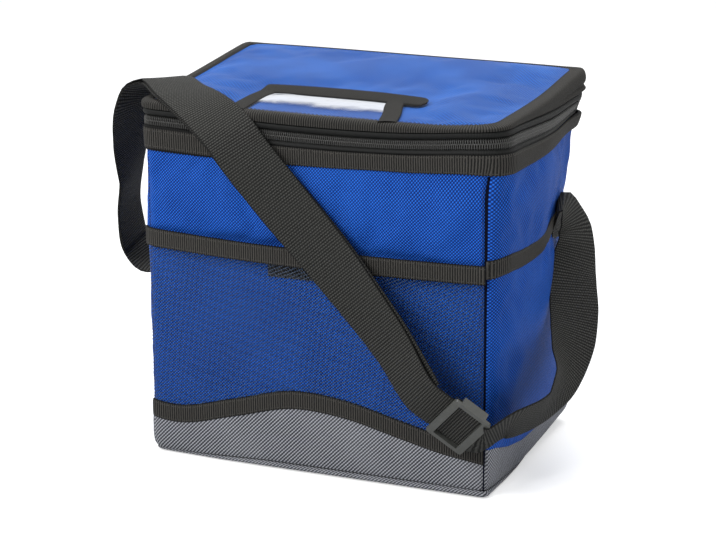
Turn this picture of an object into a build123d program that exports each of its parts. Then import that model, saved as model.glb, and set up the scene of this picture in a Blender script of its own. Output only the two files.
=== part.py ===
"""Insulated vaccine carrier: a soft-sided cool bag with a zipped, hinged lid.

Millimetres.  X runs to the right, Y to the rear, Z up.  The origin is the
middle of the underside.  The front carries the mesh pocket.
"""
from build123d import *
import math
import os

os.makedirs("parts", exist_ok=True)

# ---- driving dimensions ------------------------------------------------------
width = 265.0            # left face to right face of the bag
depth = 186.0            # front face to rear face
corner = 8.0             # vertical corners of the shell
wall_top = 243.0         # top edge of the four walls
zip_rise = 5.5           # centre line of the closed zipper over the walls
lid_h = 16.0             # outer top of the lid over the zipper, at the front
lid_rise = 7.5           # how much higher the lid is at the rear

shell_t = 1.0            # laminated nylon
foam_t = 8.0             # insulation in the walls and the base
liner_t = 0.8            # welded inner lining
trim_t = 1.2             # folded grosgrain
tape_t = 0.7             # zipper tape
board_t = 2.5            # stiffener in the base
base_sheet_t = 1.4       # coated base fabric
piping_d = 3.2           # piping round the bottom edge
seat = 0.1               # slack between a loose piece and its seat

# the padding swells the right side between the front corner and the strap
swell_levels = [(0.19, 7.0), (0.46, 9.5), (0.84, 12.5)]      # share of the walls' height, swell
swell_foot = 0.05        # swell over the piping
swell_top = 11.0         # swell at the top of the lid
swell_shape = [(-0.8, 0.86), (-0.56, 1.0), (-0.24, 0.93), (0.03, 0.45)]  # share of half the depth, of the swell
swell_end = 0.28         # share of half the depth where the side is flat again
swell_facets = 10

half_w = width / 2
half_d = depth / 2
zip_z = wall_top + zip_rise
lid_front_z = zip_z + lid_h
lid_rear_z = lid_front_z + lid_rise
reach = 5.0              # how far cutting tools run past the outside
mitre = 40.0             # how far in the mitred corners are cut

# ---- heights of the trims ----------------------------------------------------
skirt_side_z = 20.0      # grey skirt on the sides and the rear
skirt_corner_z = 36.0    # where the side skirt starts at the front corners
skirt_run = 62.0         # how far behind the front face the side skirt levels out
skirt_bend = 30.0        # where it is steepest
band_w = 14.0            # visible width of every grosgrain band
pocket_mouth_z = 171.0   # top of the band across the pocket mouth
rim_band_z = wall_top - band_w + 0.5
tape_end_y = half_d - 16.0   # where the zipper stops on both sides


def box_between(low, high, mode=Mode.ADD):
    """A box from one corner to the opposite one."""
    size = [b - a for a, b in zip(low, high)]
    middle = [(a + b) / 2 for a, b in zip(low, high)]
    with Locations(tuple(middle)):
        return Box(*size, mode=mode)


def keep(piece, name):
    """Name a finished piece and write it."""
    piece.part.label = name
    export_step(piece.part, f"parts/{name}.step")


whole_outline = [(-width, -depth), (width, -depth), (width, depth), (-width, depth)]


def side_outline(side):
    """The quarter of the plan, mitred at the corners, that one side owns."""
    x, y, k = half_w, half_d, mitre
    front = [(-x - reach, -y - reach), (x + reach, -y - reach), (x - k, -y + k), (-x + k, -y + k)]
    right = [(x + reach, -y - reach), (x + k, -y - reach), (x + k, y + reach), (x + reach, y + reach),
             (x - k, y - k), (x - k, -y + k)]
    if side == "front":
        return front
    if side == "rear":
        return [(px, -py) for px, py in front]
    if side == "right":
        return right
    return [(-px, py) for px, py in right]


# plan of the swell at full size, as flat facets that shorten towards the front corner
with BuildLine() as swell_curve:
    Spline((0, corner - half_d), *[(share * swell_top, at * half_d) for at, share in swell_shape],
           (0, swell_end * half_d))
swell_points = [swell_curve.line @ (k / swell_facets) ** 1.4 for k in range(1, swell_facets + 1)]


def bag_plan(inset, swell, z):
    """Plan of the bag at one height: a rounded rectangle with a swollen right side."""
    x, y, r = half_w - inset, half_d - inset, corner - inset
    bend = r * (1 - math.sqrt(0.5))
    side = [(x + point.X * swell / swell_top, point.Y) for point in swell_points]
    with BuildSketch(Plane.XY.offset(z)) as plan:
        with BuildLine():
            Line((-x + r, -y), (x - r, -y))
            ThreePointArc((x - r, -y), (x - bend, -y + bend), (x, -y + r))
            Polyline((x, -y + r), *side, (x, y - r))
            ThreePointArc((x, y - r), (x - bend, y - bend), (x - r, y))
            Line((x - r, y), (-x + r, y))
            ThreePointArc((-x + r, y), (-x + bend, y - bend), (-x, y - r))
            Line((-x, y - r), (-x, -y + r))
            ThreePointArc((-x, -y + r), (-x + bend, -y + bend), (-x + r, -y))
        make_face()
    return plan


def bag_column(inset):
    """The bag's body as one block, `inset` in from its outside, running up past the lid."""
    levels = [(piping_d, swell_foot)] + [(share * wall_top, swell) for share, swell in swell_levels]
    levels.append((lid_rear_z + reach, swell_top))
    sections = [bag_plan(inset, swell, z).sketch.face() for z, swell in levels]
    with BuildPart() as column:
        loft(sections, ruled=True)
        add(extrude(bag_plan(inset, 0, 0).sketch, amount=piping_d))
    return column.part


def ring(inset, thick, z0, z1, sides=None, y_max=None, y_min=None):
    """A band that follows the plan of the bag, `inset` in from the outside.

    sides keeps one mitred side of it, y_max and y_min cut it across.
    """
    inner = inset + thick
    block = bag_column(inset)
    core = bag_column(inner) if corner > inner else None
    with BuildPart() as piece:
        add(block)
        if core:
            add(core, mode=Mode.SUBTRACT)
        else:
            box_between((inner - half_w, inner - half_d, -reach),
                        (half_w - inner, half_d - inner, 2 * width), Mode.SUBTRACT)
        with BuildSketch(Plane.XY.offset(z0)):
            with BuildLine():
                Polyline(*(side_outline(sides) if sides else whole_outline), close=True)
            make_face()
        extrude(amount=z1 - z0, mode=Mode.INTERSECT)
        if y_max is not None:
            box_between((-width, y_max, z0 - reach), (width, depth, z1 + reach), Mode.SUBTRACT)
        if y_min is not None:
            box_between((-width, -depth, z0 - reach), (width, y_min, z1 + reach), Mode.SUBTRACT)
    return piece


# ---- the wave between the grey skirt and the pocket --------------------------
wave_points = [(-half_w, 34.0), (23.5 - half_w, 32.0), (-15.0, 54.5), (half_w / 2, 41.0), (half_w, 31.5)]
band_half = band_w / 2

with BuildSketch(Plane.XZ) as under_wave:
    with BuildLine():
        Spline(*wave_points)
        Polyline(wave_points[-1], (half_w, -reach), (-half_w, -reach), wave_points[0])
    make_face()
with BuildPart() as front_cut:
    add(extrude(under_wave.sketch, amount=depth))

with BuildSketch(Plane.YZ) as under_side:
    with BuildLine():
        start = (-half_d - reach, skirt_corner_z + 2)
        corner_point = (-half_d, skirt_corner_z)
        bend = (-half_d + skirt_bend, skirt_side_z + 4)
        level = (-half_d + skirt_run, skirt_side_z)
        Spline(start, corner_point, bend, level, tangents=((1, 0), (1, 0)))
        Polyline(level, (depth, skirt_side_z), (depth, -reach), (-half_d - reach, -reach), start)
    make_face()
with BuildPart() as side_cut:
    add(extrude(under_side.sketch, amount=width, both=True))

# ---- outer shell: four blue walls over a grey skirt --------------------------
for side in ("front", "right", "left", "rear"):
    tool = front_cut if side == "front" else side_cut
    lower = ring(0, shell_t, base_sheet_t, wall_top, side)
    with BuildPart() as skirt:
        add(lower.part)
        add(tool.part, mode=Mode.INTERSECT)
    keep(skirt, f"skirt_{side}")
    with BuildPart() as panel:
        add(lower.part)
        add(tool.part, mode=Mode.SUBTRACT)
    keep(panel, f"{side}_panel")
    insulation = ring(shell_t, foam_t, base_sheet_t + board_t, wall_top, side)
    keep(insulation, f"{side}_foam")

# ---- base --------------------------------------------------------------------
with BuildPart() as base_panel:
    with BuildSketch():
        RectangleRounded(width, depth, corner)
    extrude(amount=base_sheet_t)
keep(base_panel, "base_panel")

with BuildPart() as base_piping:
    with BuildSketch():
        RectangleRounded(width + 2 * trim_t, depth + 2 * trim_t, corner + trim_t)
        RectangleRounded(width, depth, corner, mode=Mode.SUBTRACT)
    extrude(amount=piping_d)
    chamfer(base_piping.faces().sort_by(Axis.Z)[-1].outer_wire().edges(), trim_t * 0.5)
keep(base_piping, "base_piping")

inner_w = width - 2 * shell_t
inner_d = depth - 2 * shell_t
with BuildPart() as base_board:
    with BuildSketch(Plane.XY.offset(base_sheet_t)):
        RectangleRounded(inner_w, inner_d, corner - shell_t)
    extrude(amount=board_t)
keep(base_board, "base_board")

wall_t = shell_t + foam_t
floor_z = base_sheet_t + board_t
with BuildPart() as base_foam:
    with BuildSketch(Plane.XY.offset(floor_z)):
        Rectangle(width - 2 * wall_t, depth - 2 * wall_t)
    extrude(amount=foam_t)
keep(base_foam, "base_foam")

with BuildPart() as liner:
    with BuildSketch(Plane.XY.offset(floor_z + foam_t)):
        Rectangle(width - 2 * wall_t, depth - 2 * wall_t)
    extrude(amount=wall_top - floor_z - foam_t)
    mouth = liner.faces().sort_by(Axis.Z)[-1]
    offset(amount=-liner_t, openings=mouth)
keep(liner, "liner")

# ---- trims of the body -------------------------------------------------------
rim_band = ring(-trim_t, trim_t, rim_band_z, rim_band_z + band_w - 1)
keep(rim_band, "rim_band")

with BuildSketch(Plane.XZ.offset(half_d)) as wave_plan:
    with BuildLine():
        Spline(*wave_points)
    trace(line_width=band_w)
    with BuildLine():
        flat = half_w - corner
        Polyline((-flat, 0), (flat, 0), (flat, depth), (-flat, depth), close=True)
    make_face(mode=Mode.INTERSECT)
with BuildPart() as wave_band:
    add(extrude(wave_plan.sketch, amount=trim_t))
keep(wave_band, "wave_band")

# side bands sag a little between the front corner and the strap they carry
left_anchor_y = 8.0
right_anchor_y = half_d - 45.0
sag = 7.0
band_rear_drop = 2.0
side_flat = half_d - corner
band_mid_z = pocket_mouth_z - band_half
trim_ring = ring(-trim_t, trim_t, skirt_corner_z, wall_top)
for name, x_dir in (("right", 1), ("left", -1)):
    with BuildPart() as side_band:
        add(trim_ring.part)
        with BuildSketch(Plane.YZ):
            with BuildLine():
                Spline((-side_flat - reach, band_mid_z), (-side_flat * 0.2, band_mid_z - sag),
                       (right_anchor_y, band_mid_z), (side_flat + reach, band_mid_z - band_rear_drop))
            trace(line_width=band_w)
            with BuildLine():
                Polyline((-side_flat, 0), (side_flat, 0), (side_flat, depth * 2),
                         (-side_flat, depth * 2), close=True)
            make_face(mode=Mode.INTERSECT)
        extrude(amount=x_dir * width, mode=Mode.INTERSECT)
    keep(side_band, f"side_band_{name}")

# ---- mesh pocket: flat at the wave, bowed open at its mouth ------------------
mesh_t = 1.0
mouth_gape = 9.0         # how far the mouth stands off the front panel
mesh_flat_z = 62.0       # below this the mesh lies flat on the panel
mesh_top_z = pocket_mouth_z - band_w
flat_gap = 0.2
pocket_half = half_w - corner


def bowed_strip(z, gape, thick, base_y=-half_d):
    """Plan of a strip that bows away from the front panel."""
    with BuildSketch(Plane.XY.offset(z)) as plan:
        with BuildLine():
            outer = base_y - thick
            ThreePointArc((-pocket_half, outer), (0, outer - gape), (pocket_half, outer))
            Line((pocket_half, outer), (pocket_half, base_y))
            ThreePointArc((pocket_half, base_y), (0, base_y - gape), (-pocket_half, base_y))
            Line((-pocket_half, base_y), (-pocket_half, outer))
        make_face()
    return plan


mesh_foot = bowed_strip(mesh_flat_z, flat_gap, mesh_t)
mesh_mouth = bowed_strip(mesh_top_z, mouth_gape, mesh_t)
with BuildPart() as pocket_mesh:
    add(loft([mesh_foot.sketch.face(), mesh_mouth.sketch.face()], ruled=True))
    add(extrude(mesh_foot.sketch, amount=-mesh_flat_z / 2))
    add(front_cut.part, mode=Mode.SUBTRACT)
    add(extrude(wave_plan.sketch, amount=2 * trim_t), mode=Mode.SUBTRACT)
keep(pocket_mesh, "pocket_mesh")

with BuildPart() as pocket_band:
    add(extrude(bowed_strip(mesh_top_z, mouth_gape, mesh_t + trim_t).sketch, amount=band_w))
keep(pocket_band, "pocket_band")

patch_left, patch_right = -37.0, -2.0
patch_low, patch_high = 141.0, 156.0
patch_t = 0.8
with BuildPart() as pocket_patch:
    box_between((patch_left, -half_d - patch_t, patch_low), (patch_right, -half_d, patch_high))
keep(pocket_patch, "pocket_patch")

# ---- zipper ------------------------------------------------------------------
coil_h = 3.0             # one row of the coil
coil_gap = 0.5           # each row stands this far off the centre line
coil_out = 0.9           # how far the coil stands proud of the walls
tape_in = 0.2            # the tape lies this far in from the wall face
tape_high = zip_z + 10.5
hinge_y = half_d + trim_t + 0.4
hinge_gap = 0.3

zipper_tape_lower = ring(tape_in, tape_t, wall_top, zip_z - coil_gap, y_max=tape_end_y)
keep(zipper_tape_lower, "zipper_tape_lower")
zipper_tape_upper = ring(tape_in, tape_t, zip_z + coil_gap, tape_high, y_max=tape_end_y)
keep(zipper_tape_upper, "zipper_tape_upper")
coil_z = zip_z - coil_gap - coil_h
zipper_coil_lower = ring(-coil_out, coil_out + tape_in, coil_z, coil_z + coil_h, y_max=tape_end_y)
keep(zipper_coil_lower, "zipper_coil_lower")
coil_z = zip_z + coil_gap
zipper_coil_upper = ring(-coil_out, coil_out + tape_in, coil_z, coil_z + coil_h, y_max=tape_end_y)
keep(zipper_coil_upper, "zipper_coil_upper")

# fabric hinge across the rear, in two halves that meet on the hinge line
hinge_lower = ring(tape_in, tape_t, wall_top, zip_z - hinge_gap, y_min=tape_end_y)
keep(hinge_lower, "hinge_strip_lower")
hinge_upper = ring(tape_in, tape_t, zip_z + hinge_gap, tape_high, y_min=tape_end_y)
keep(hinge_upper, "hinge_strip_upper")

# ---- lid ---------------------------------------------------------------------
lid_foam_z = zip_z + 8.0
lid_edge = tape_in + tape_t      # the lid's filling fits inside the tape
binding_low = lid_foam_z + 1
binding_in = 7.0                 # width of the binding on top of the lid
lid_slope = (lid_rear_z - lid_front_z) / depth


def lid_height(y):
    """Outer top of the lid at a distance from the middle."""
    return lid_front_z + (y + half_d) * lid_slope


def lid_wedge(below, thick):
    """A sloping slab that follows the top of the lid, `below` under it."""
    with BuildPart() as slab:
        with BuildSketch(Plane.YZ):
            with BuildLine():
                front, rear = -half_d - reach, half_d + reach
                top_front = lid_height(front) - below
                top_rear = lid_height(rear) - below
                Polyline((front, top_front), (rear, top_rear), (rear, top_rear - thick),
                         (front, top_front - thick), close=True)
            make_face()
        extrude(amount=width, both=True)
    return slab


def lid_block(inset, z0):
    """A column with the lid's plan that runs up past its top."""
    column = bag_column(inset)
    with BuildPart() as block:
        add(column)
        box_between((-width, -depth, -reach), (width, depth, z0), Mode.SUBTRACT)
    return block


top_sheet = lid_wedge(trim_t, shell_t)
above_foam = lid_wedge(-depth, depth + trim_t + shell_t)
filling = lid_block(lid_edge, lid_foam_z)
with BuildPart() as lid_top_panel:
    add(filling.part)
    add(top_sheet.part, mode=Mode.INTERSECT)
keep(lid_top_panel, "lid_top_panel")

with BuildPart() as lid_foam:
    add(filling.part)
    add(above_foam.part, mode=Mode.SUBTRACT)
keep(lid_foam, "lid_foam")

liner_block = lid_block(lid_edge, lid_foam_z - liner_t)
with BuildPart() as lid_liner:
    add(liner_block.part)
    box_between((-width, -depth, lid_foam_z), (width, depth, lid_rear_z + 2 * reach), Mode.SUBTRACT)
keep(lid_liner, "lid_liner")

binding_top = lid_wedge(0, trim_t)
above_lid = lid_wedge(-depth, depth)
binding_skirt = ring(-trim_t, trim_t + tape_in, binding_low, lid_rear_z)
binding_block = ring(-trim_t, trim_t + binding_in, binding_low, lid_rear_z)
with BuildPart() as lid_binding:
    add(binding_block.part)
    add(binding_top.part, mode=Mode.INTERSECT)
    add(binding_skirt.part)
    add(above_lid.part, mode=Mode.SUBTRACT)
keep(lid_binding, "lid_binding")

# ---- clear document pocket on the lid ----------------------------------------
film_t = 0.4
doc_left, doc_right = -66.0, 64.0
doc_rear, doc_front = -25.0, -half_d + binding_in
doc_band = 13.0


def on_lid(x0, x1, y0, y1, thick, radius=0.0, above=0.0):
    """A thin piece that lies on the sloping blue top."""
    with BuildPart() as piece:
        with BuildSketch(Plane.XY.offset(lid_foam_z)):
            with Locations(((x0 + x1) / 2, (y0 + y1) / 2)):
                if radius:
                    RectangleRounded(x1 - x0, y1 - y0, radius)
                else:
                    Rectangle(x1 - x0, y1 - y0)
        extrude(amount=lid_rear_z + reach - lid_foam_z)
        add(lid_wedge(trim_t - thick - above, thick).part, mode=Mode.INTERSECT)
    return piece


band_overlap = 5.0
keep(on_lid(doc_left + doc_band - band_overlap, doc_right - doc_band + band_overlap,
            doc_front, doc_rear - 1, film_t), "document_film")
document_rear = on_lid(doc_left, doc_right + 2, doc_rear - doc_band, doc_rear, trim_t, 5.0, film_t)
keep(document_rear, "document_band_rear")
keep(on_lid(doc_left, doc_left + doc_band, doc_front, doc_rear - doc_band, trim_t, 0, film_t),
     "document_band_left")
keep(on_lid(doc_right - doc_band, doc_right, doc_front, doc_rear - doc_band, trim_t, 0, film_t),
     "document_band_right")

# ---- zipper slider and pull --------------------------------------------------
slider_y = tape_end_y - 7.0
slider_len = 11.0
slider_h = 10.0
plate_t = 1.2
plate_gap = 0.3
post_len = 2.0
post_half = 0.2
crown_w = 2.4
crown_rise = 2.9         # outer height of the crown over the plate
crown_t = 1.0
crown_foot = 4.0         # half the crown's length, outside
crown_shoulder = 2.6     # half the length of its flat top
pin_r = 0.6
pin_rise = 1.0
pull_t = 1.2
pull_w = 6.8
pull_len = 26.0
window_len = 5.0
window_w = 4.0
pull_hole_r = 1.5
outer_x = -half_w - coil_out - plate_gap              # back of the outer plate
inner_x = -half_w + tape_in + tape_t + plate_gap      # front of the inner plate
face_x = outer_x - plate_t                            # face that the pull lies on
on_left = Plane(origin=(outer_x, slider_y, zip_z), x_dir=(0, -1, 0), z_dir=(-1, 0, 0))
behind_left = Plane(origin=(inner_x, slider_y, zip_z), x_dir=(0, 1, 0), z_dir=(1, 0, 0))
flat_left = Plane(origin=(face_x, slider_y, zip_z), x_dir=(0, -1, 0), z_dir=(-1, 0, 0))
crown_plane = Plane(origin=(face_x, slider_y, zip_z - crown_w / 2), x_dir=(0, -1, 0), z_dir=(0, 0, 1))

with BuildPart() as zipper_slider:
    # outer plate, waisted where it tapers to the nose
    with BuildSketch(on_left):
        Rectangle(slider_len, slider_h)
        chamfer(vertices(), 2.0)
    extrude(amount=plate_t)
    with BuildSketch(behind_left):
        Rectangle(slider_len - 1, slider_h - 1)
        chamfer(vertices(), 1.5)
    extrude(amount=plate_t)
    # post that joins the plates between the two rows
    post_y = slider_y - slider_len / 2 + 1
    box_between((outer_x, post_y, zip_z - post_half), (inner_x, post_y + post_len, zip_z + post_half))
    # crown: the arch that the pull hangs in
    foot_in = crown_foot - crown_t
    shoulder_in = crown_shoulder - crown_t * 0.2
    with BuildSketch(crown_plane):
        with BuildLine():
            Polyline((-crown_foot, 0), (-crown_foot, -crown_t), (-crown_shoulder, -crown_rise),
                     (crown_shoulder, -crown_rise), (crown_foot, -crown_t), (crown_foot, 0),
                     (foot_in, 0), (shoulder_in, crown_t - crown_rise),
                     (-shoulder_in, crown_t - crown_rise), (-foot_in, 0), close=True)
        make_face()
    extrude(amount=crown_w)
keep(zipper_slider, "zipper_slider")

pull_plane = flat_left.offset(pin_rise - pull_t / 2)
with BuildPart() as zipper_pull:
    with BuildSketch(pull_plane):
        with Locations(((pull_len - pin_r) / 2, 0)):
            RectangleRounded(pull_len + pin_r, pull_w, 1.4)
        with Locations((window_len / 2 + pin_r, 0)):
            Rectangle(window_len, window_w, mode=Mode.SUBTRACT)
        with Locations((pull_len - 3 * pull_hole_r, 0)):
            Circle(pull_hole_r, mode=Mode.SUBTRACT)
    extrude(amount=pull_t)
keep(zipper_pull, "zipper_pull")

# ---- shoulder strap ----------------------------------------------------------
# Webbing doubled from the left anchor to the adjuster, single from there on.
# Each station is the middle of the webbing and the direction of its width.
webbing_w = 38.0
webbing_t = 1.4
layer_gap = 0.2
anchor_x = half_w + trim_t + webbing_t / 2 + seat

adjuster_at = Vector(half_w - 10.5, -half_d - 21, 60)
adjuster_run = Vector(0.76, 0.24, -0.60).normalized()
adjuster_across = Vector(0.62, -0.38, 0.69)
adjuster_across = (adjuster_across - adjuster_run * adjuster_across.dot(adjuster_run)).normalized()
straight_up = 32.0       # straight webbing on the lid side of the adjuster
straight_down = 17.0
straight_start = adjuster_at - adjuster_run * straight_up
straight_end = adjuster_at + adjuster_run * straight_down


def left_of_bag(off, y, rise, across):
    """A station `off` from the left face, `rise` over the pocket's mouth."""
    return (-anchor_x - off, left_anchor_y + y, pocket_mouth_z + rise), across


def right_of_bag(off, y, rise, across):
    """A station `off` from the right face, `rise` over the pocket's mouth."""
    return (anchor_x + off, right_anchor_y + y, pocket_mouth_z + rise), across


def over_corner(x, y, rise, across):
    """A station measured from the lid's front-left corner."""
    return (x - half_w, y - half_d, lid_front_z + rise), across


def near_adjuster(x, y, rise, across):
    """A station measured from the adjuster."""
    return tuple(adjuster_at + Vector(x, y, rise)), across


left_stations = [
    left_of_bag(0, 0, 0, (0, 1, 0)),
    left_of_bag(1, 0, -21, (0, 1, 0)),
    left_of_bag(9.5, 0, -40, (0, 1, 0)),
    left_of_bag(25.5, -1, -52, (0, 1, 0)),
    left_of_bag(45.5, -3, -54, (0, 1, 0.15)),
    left_of_bag(58.5, -5, -39, (0, 0.97, 0.24)),
    left_of_bag(58.5, -13, -11, (0, 0.95, 0.3)),
    left_of_bag(49.5, -24, 21, (0, 0.93, 0.37)),
    left_of_bag(40.5, -38, 53, (0.06, 0.92, 0.38)),
    over_corner(-30.5, 48, -10.5, (0.33, 0.9, 0.28)),
]
over_lid_stations = [
    over_corner(-9.5, 31, 7.5, (0.51, 0.86, 0.07)),
    over_corner(22.5, 12, 9.5, (0.52, 0.84, 0.16)),
    over_corner(54.5, -8, 3.5, (0.54, 0.75, 0.39)),
    over_corner(71.5, -16, -8.5, (0.58, 0.65, 0.48)),
]
front_stations = [
    over_corner(89.5, -16, -27.5, (0.62, 0.55, 0.55)),
    over_corner(118.5, -16, -59.5, (0.69, 0.38, 0.62)),
    over_corner(148.5, -16, -91.5, (0.74, 0.15, 0.65)),
    near_adjuster(-77, 3, 81, (0.75, -0.08, 0.65)),
    near_adjuster(-51, 0, 51, (0.73, -0.25, 0.63)),
]
right_stations = [
    near_adjuster(33, 20, -5, (0.5, -0.47, 0.72)),
    near_adjuster(43, 45, -2, (0.38, -0.53, 0.76)),
    near_adjuster(47, 70, 8, (0.05, -0.56, 0.82)),
    near_adjuster(46, 94, 21, (-0.41, -0.55, 0.72)),
    right_of_bag(30.5, -48, -75, (-0.73, -0.52, 0.45)),
    right_of_bag(25.5, -30, -59, (-0.81, -0.53, 0.24)),
    right_of_bag(19.5, -16, -40, (-0.76, -0.63, 0.17)),
    right_of_bag(15.5, -7, -19, (-0.6, -0.78, 0.15)),
    right_of_bag(12.5, -2, -1, (-0.3, -0.95, 0.1)),
    right_of_bag(8.5, 0, 11, (0, -1, 0)),
    right_of_bag(3.5, 0, 13, (0, -1, 0)),
    right_of_bag(0, 0, 7, (0, -1, 0)),
    right_of_bag(0, 0, -11, (0, -1, 0)),
]


def section_planes(stations):
    """Cross-section planes of the webbing, square to its run at each station."""
    centres = [Vector(*centre) for centre, _ in stations]
    planes = []
    for i, (_, across) in enumerate(stations):
        run = centres[min(i + 1, len(centres) - 1)] - centres[max(i - 1, 0)]
        run = run.normalized()
        across = Vector(*across)
        across = across - run * across.dot(run)
        planes.append(Plane(origin=centres[i], x_dir=across, z_dir=run))
    return planes


lid_side = section_planes(left_stations + over_lid_stations + front_stations
                          + [(tuple(straight_start), tuple(adjuster_across))])
lid_side[-1] = Plane(origin=straight_start, x_dir=adjuster_across, z_dir=adjuster_run)
far_side = section_planes([(tuple(straight_end), tuple(adjuster_across))] + right_stations)
far_side[0] = Plane(origin=straight_end, x_dir=adjuster_across, z_dir=adjuster_run)
anchor_side = far_side[1:]


def facet(*points):
    """A flat face through three or four points."""
    return Face(Wire.make_polygon(points))


def webbing(planes, below=0.0):
    """A run of webbing through its cross-sections, `below` the outer layer.

    The webbing twists, so each of its sides is two flat triangles between
    sections, folded along the same diagonal above and below.
    """
    x, y = webbing_w / 2, webbing_t / 2
    section = [(-x, -y - below), (x, -y - below), (x, y - below), (-x, y - below)]
    rings = [[plane.from_local_coords((*point, 0)) for point in section] for plane in planes]
    sides = [facet(*rings[0]), facet(*rings[-1])]
    for (a, b, c, d), (e, f, g, h) in zip(rings, rings[1:]):
        sides += [facet(a, b, f), facet(a, f, e), facet(d, c, g), facet(d, g, h)]
        sides += [facet(b, c, g), facet(b, g, f), facet(a, d, h), facet(a, h, e)]
    with BuildPart() as run:
        add(Solid(Shell(sides)))
    return run


n_left = len(left_stations)
n_lid = n_left + len(over_lid_stations)
layer = webbing_t + layer_gap
stretches = {"left": lid_side[:n_left], "over_lid": lid_side[n_left - 1:n_lid],
             "front": lid_side[n_lid - 1:]}
for place, planes in stretches.items():
    if place == "front":
        keep(webbing(planes + far_side[:1]), "strap_front")
    else:
        keep(webbing(planes), f"strap_{place}")
    keep(webbing(planes, layer), f"strap_return_{place}")
keep(webbing(far_side), "strap_right")

# ---- strap adjuster: a three-bar slide and the sewn end of the strap ---------
slide_len = 31.0
slide_w = 46.0
end_bar = 5.5
centre_bar = 5.0
end_bar_t = 2.2
centre_bar_t = 1.8
bar_clear = 0.3
rail_w = (slide_w - webbing_w) / 2 - 0.6
bar_low = webbing_t / 2 + bar_clear
rail_top = bar_low + end_bar_t
centre_top = -webbing_t / 2 - bar_clear - webbing_t - 2 * seat
centre_low = centre_top - centre_bar_t
adjuster_plane = Plane(origin=adjuster_at, x_dir=adjuster_across,
                       z_dir=adjuster_run.cross(adjuster_across))
with BuildPart() as strap_adjuster:
    with BuildSketch(adjuster_plane.offset(bar_low)):
        RectangleRounded(slide_w, slide_len, 2.5)
        Rectangle(slide_w - 2 * rail_w, slide_len - 2 * end_bar, mode=Mode.SUBTRACT)
    extrude(amount=end_bar_t)
    with BuildSketch(adjuster_plane.offset(centre_low)):
        for x in (-1, 1):
            with Locations((x * (slide_w - rail_w) / 2, 0)):
                Rectangle(rail_w, slide_len - 2 * end_bar)
    extrude(amount=bar_low - centre_low)
    with BuildSketch(adjuster_plane.offset(centre_low)):
        Rectangle(slide_w - rail_w, centre_bar)
    extrude(amount=centre_bar_t)
keep(strap_adjuster, "strap_adjuster")

# the strap's end, wrapped round the centre bar and stitched to itself
loop_tail = 14.0
loop_low = centre_low - seat - webbing_t
loop_top = centre_top + seat + webbing_t
loop_half = centre_bar / 2 + seat
loop_plane = Plane(origin=adjuster_at - adjuster_across * webbing_w / 2,
                   x_dir=adjuster_run * -1, z_dir=adjuster_across)
with BuildPart() as strap_end:
    with BuildSketch(loop_plane):
        with BuildLine():
            Polyline((-loop_half - webbing_t, loop_low + 1), (-loop_half - webbing_t + 1, loop_low),
                     (loop_half, loop_low), (loop_tail * 0.7, loop_top - 2 * webbing_t),
                     (loop_tail, loop_top - 2 * webbing_t), (loop_tail, loop_top),
                     (-loop_half - webbing_t + 1, loop_top), (-loop_half - webbing_t, loop_top - 1),
                     close=True)
        make_face()
        with Locations((0, (centre_top + centre_low) / 2)):
            Rectangle(2 * loop_half, centre_bar_t + 2 * seat, mode=Mode.SUBTRACT)
    extrude(amount=webbing_w)
keep(strap_end, "strap_end")
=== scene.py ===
# %% [markdown]
# # A soft vaccine carrier, dressed for its close-up
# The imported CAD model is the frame: it says where everything is and what
# moves. This notebook hangs fabric on it: a puffed shell, ribbon trims, a
# knitted mesh pocket, a real zipper and one long twisted strap.
# Sizes are written in millimetres and turned into metres at the last step.

# %% Load the frame
import bpy
import bmesh
import math
import numpy as np
from mathutils import Matrix, Vector, noise


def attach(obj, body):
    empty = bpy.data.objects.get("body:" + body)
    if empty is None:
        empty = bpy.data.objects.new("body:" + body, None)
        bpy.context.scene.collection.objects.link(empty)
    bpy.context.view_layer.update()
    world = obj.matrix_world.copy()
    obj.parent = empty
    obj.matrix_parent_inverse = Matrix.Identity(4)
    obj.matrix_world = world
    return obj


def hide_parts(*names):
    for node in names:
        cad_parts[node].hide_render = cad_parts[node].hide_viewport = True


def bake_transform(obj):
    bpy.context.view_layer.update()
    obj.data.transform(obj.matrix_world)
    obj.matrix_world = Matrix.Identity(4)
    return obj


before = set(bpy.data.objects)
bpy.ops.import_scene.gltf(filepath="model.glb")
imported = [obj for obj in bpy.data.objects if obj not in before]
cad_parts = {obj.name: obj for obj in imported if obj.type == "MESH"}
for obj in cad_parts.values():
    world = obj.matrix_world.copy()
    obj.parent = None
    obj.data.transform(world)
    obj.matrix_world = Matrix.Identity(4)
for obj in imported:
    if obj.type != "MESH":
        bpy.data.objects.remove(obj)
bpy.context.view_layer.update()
MM = 0.001

# %% [markdown]
# ## Small mesh helpers
# A soft bag is made of sheets: cloth, ribbon, tape and film. Each could be
# modelled by hand, but they all follow one surface, so every sheet here starts
# as a plain grid whose points are moved to where the sheet lies. The grid also
# carries the weave: its UVs are in metres, so a rib or a thread keeps its real
# size on every piece.

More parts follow.
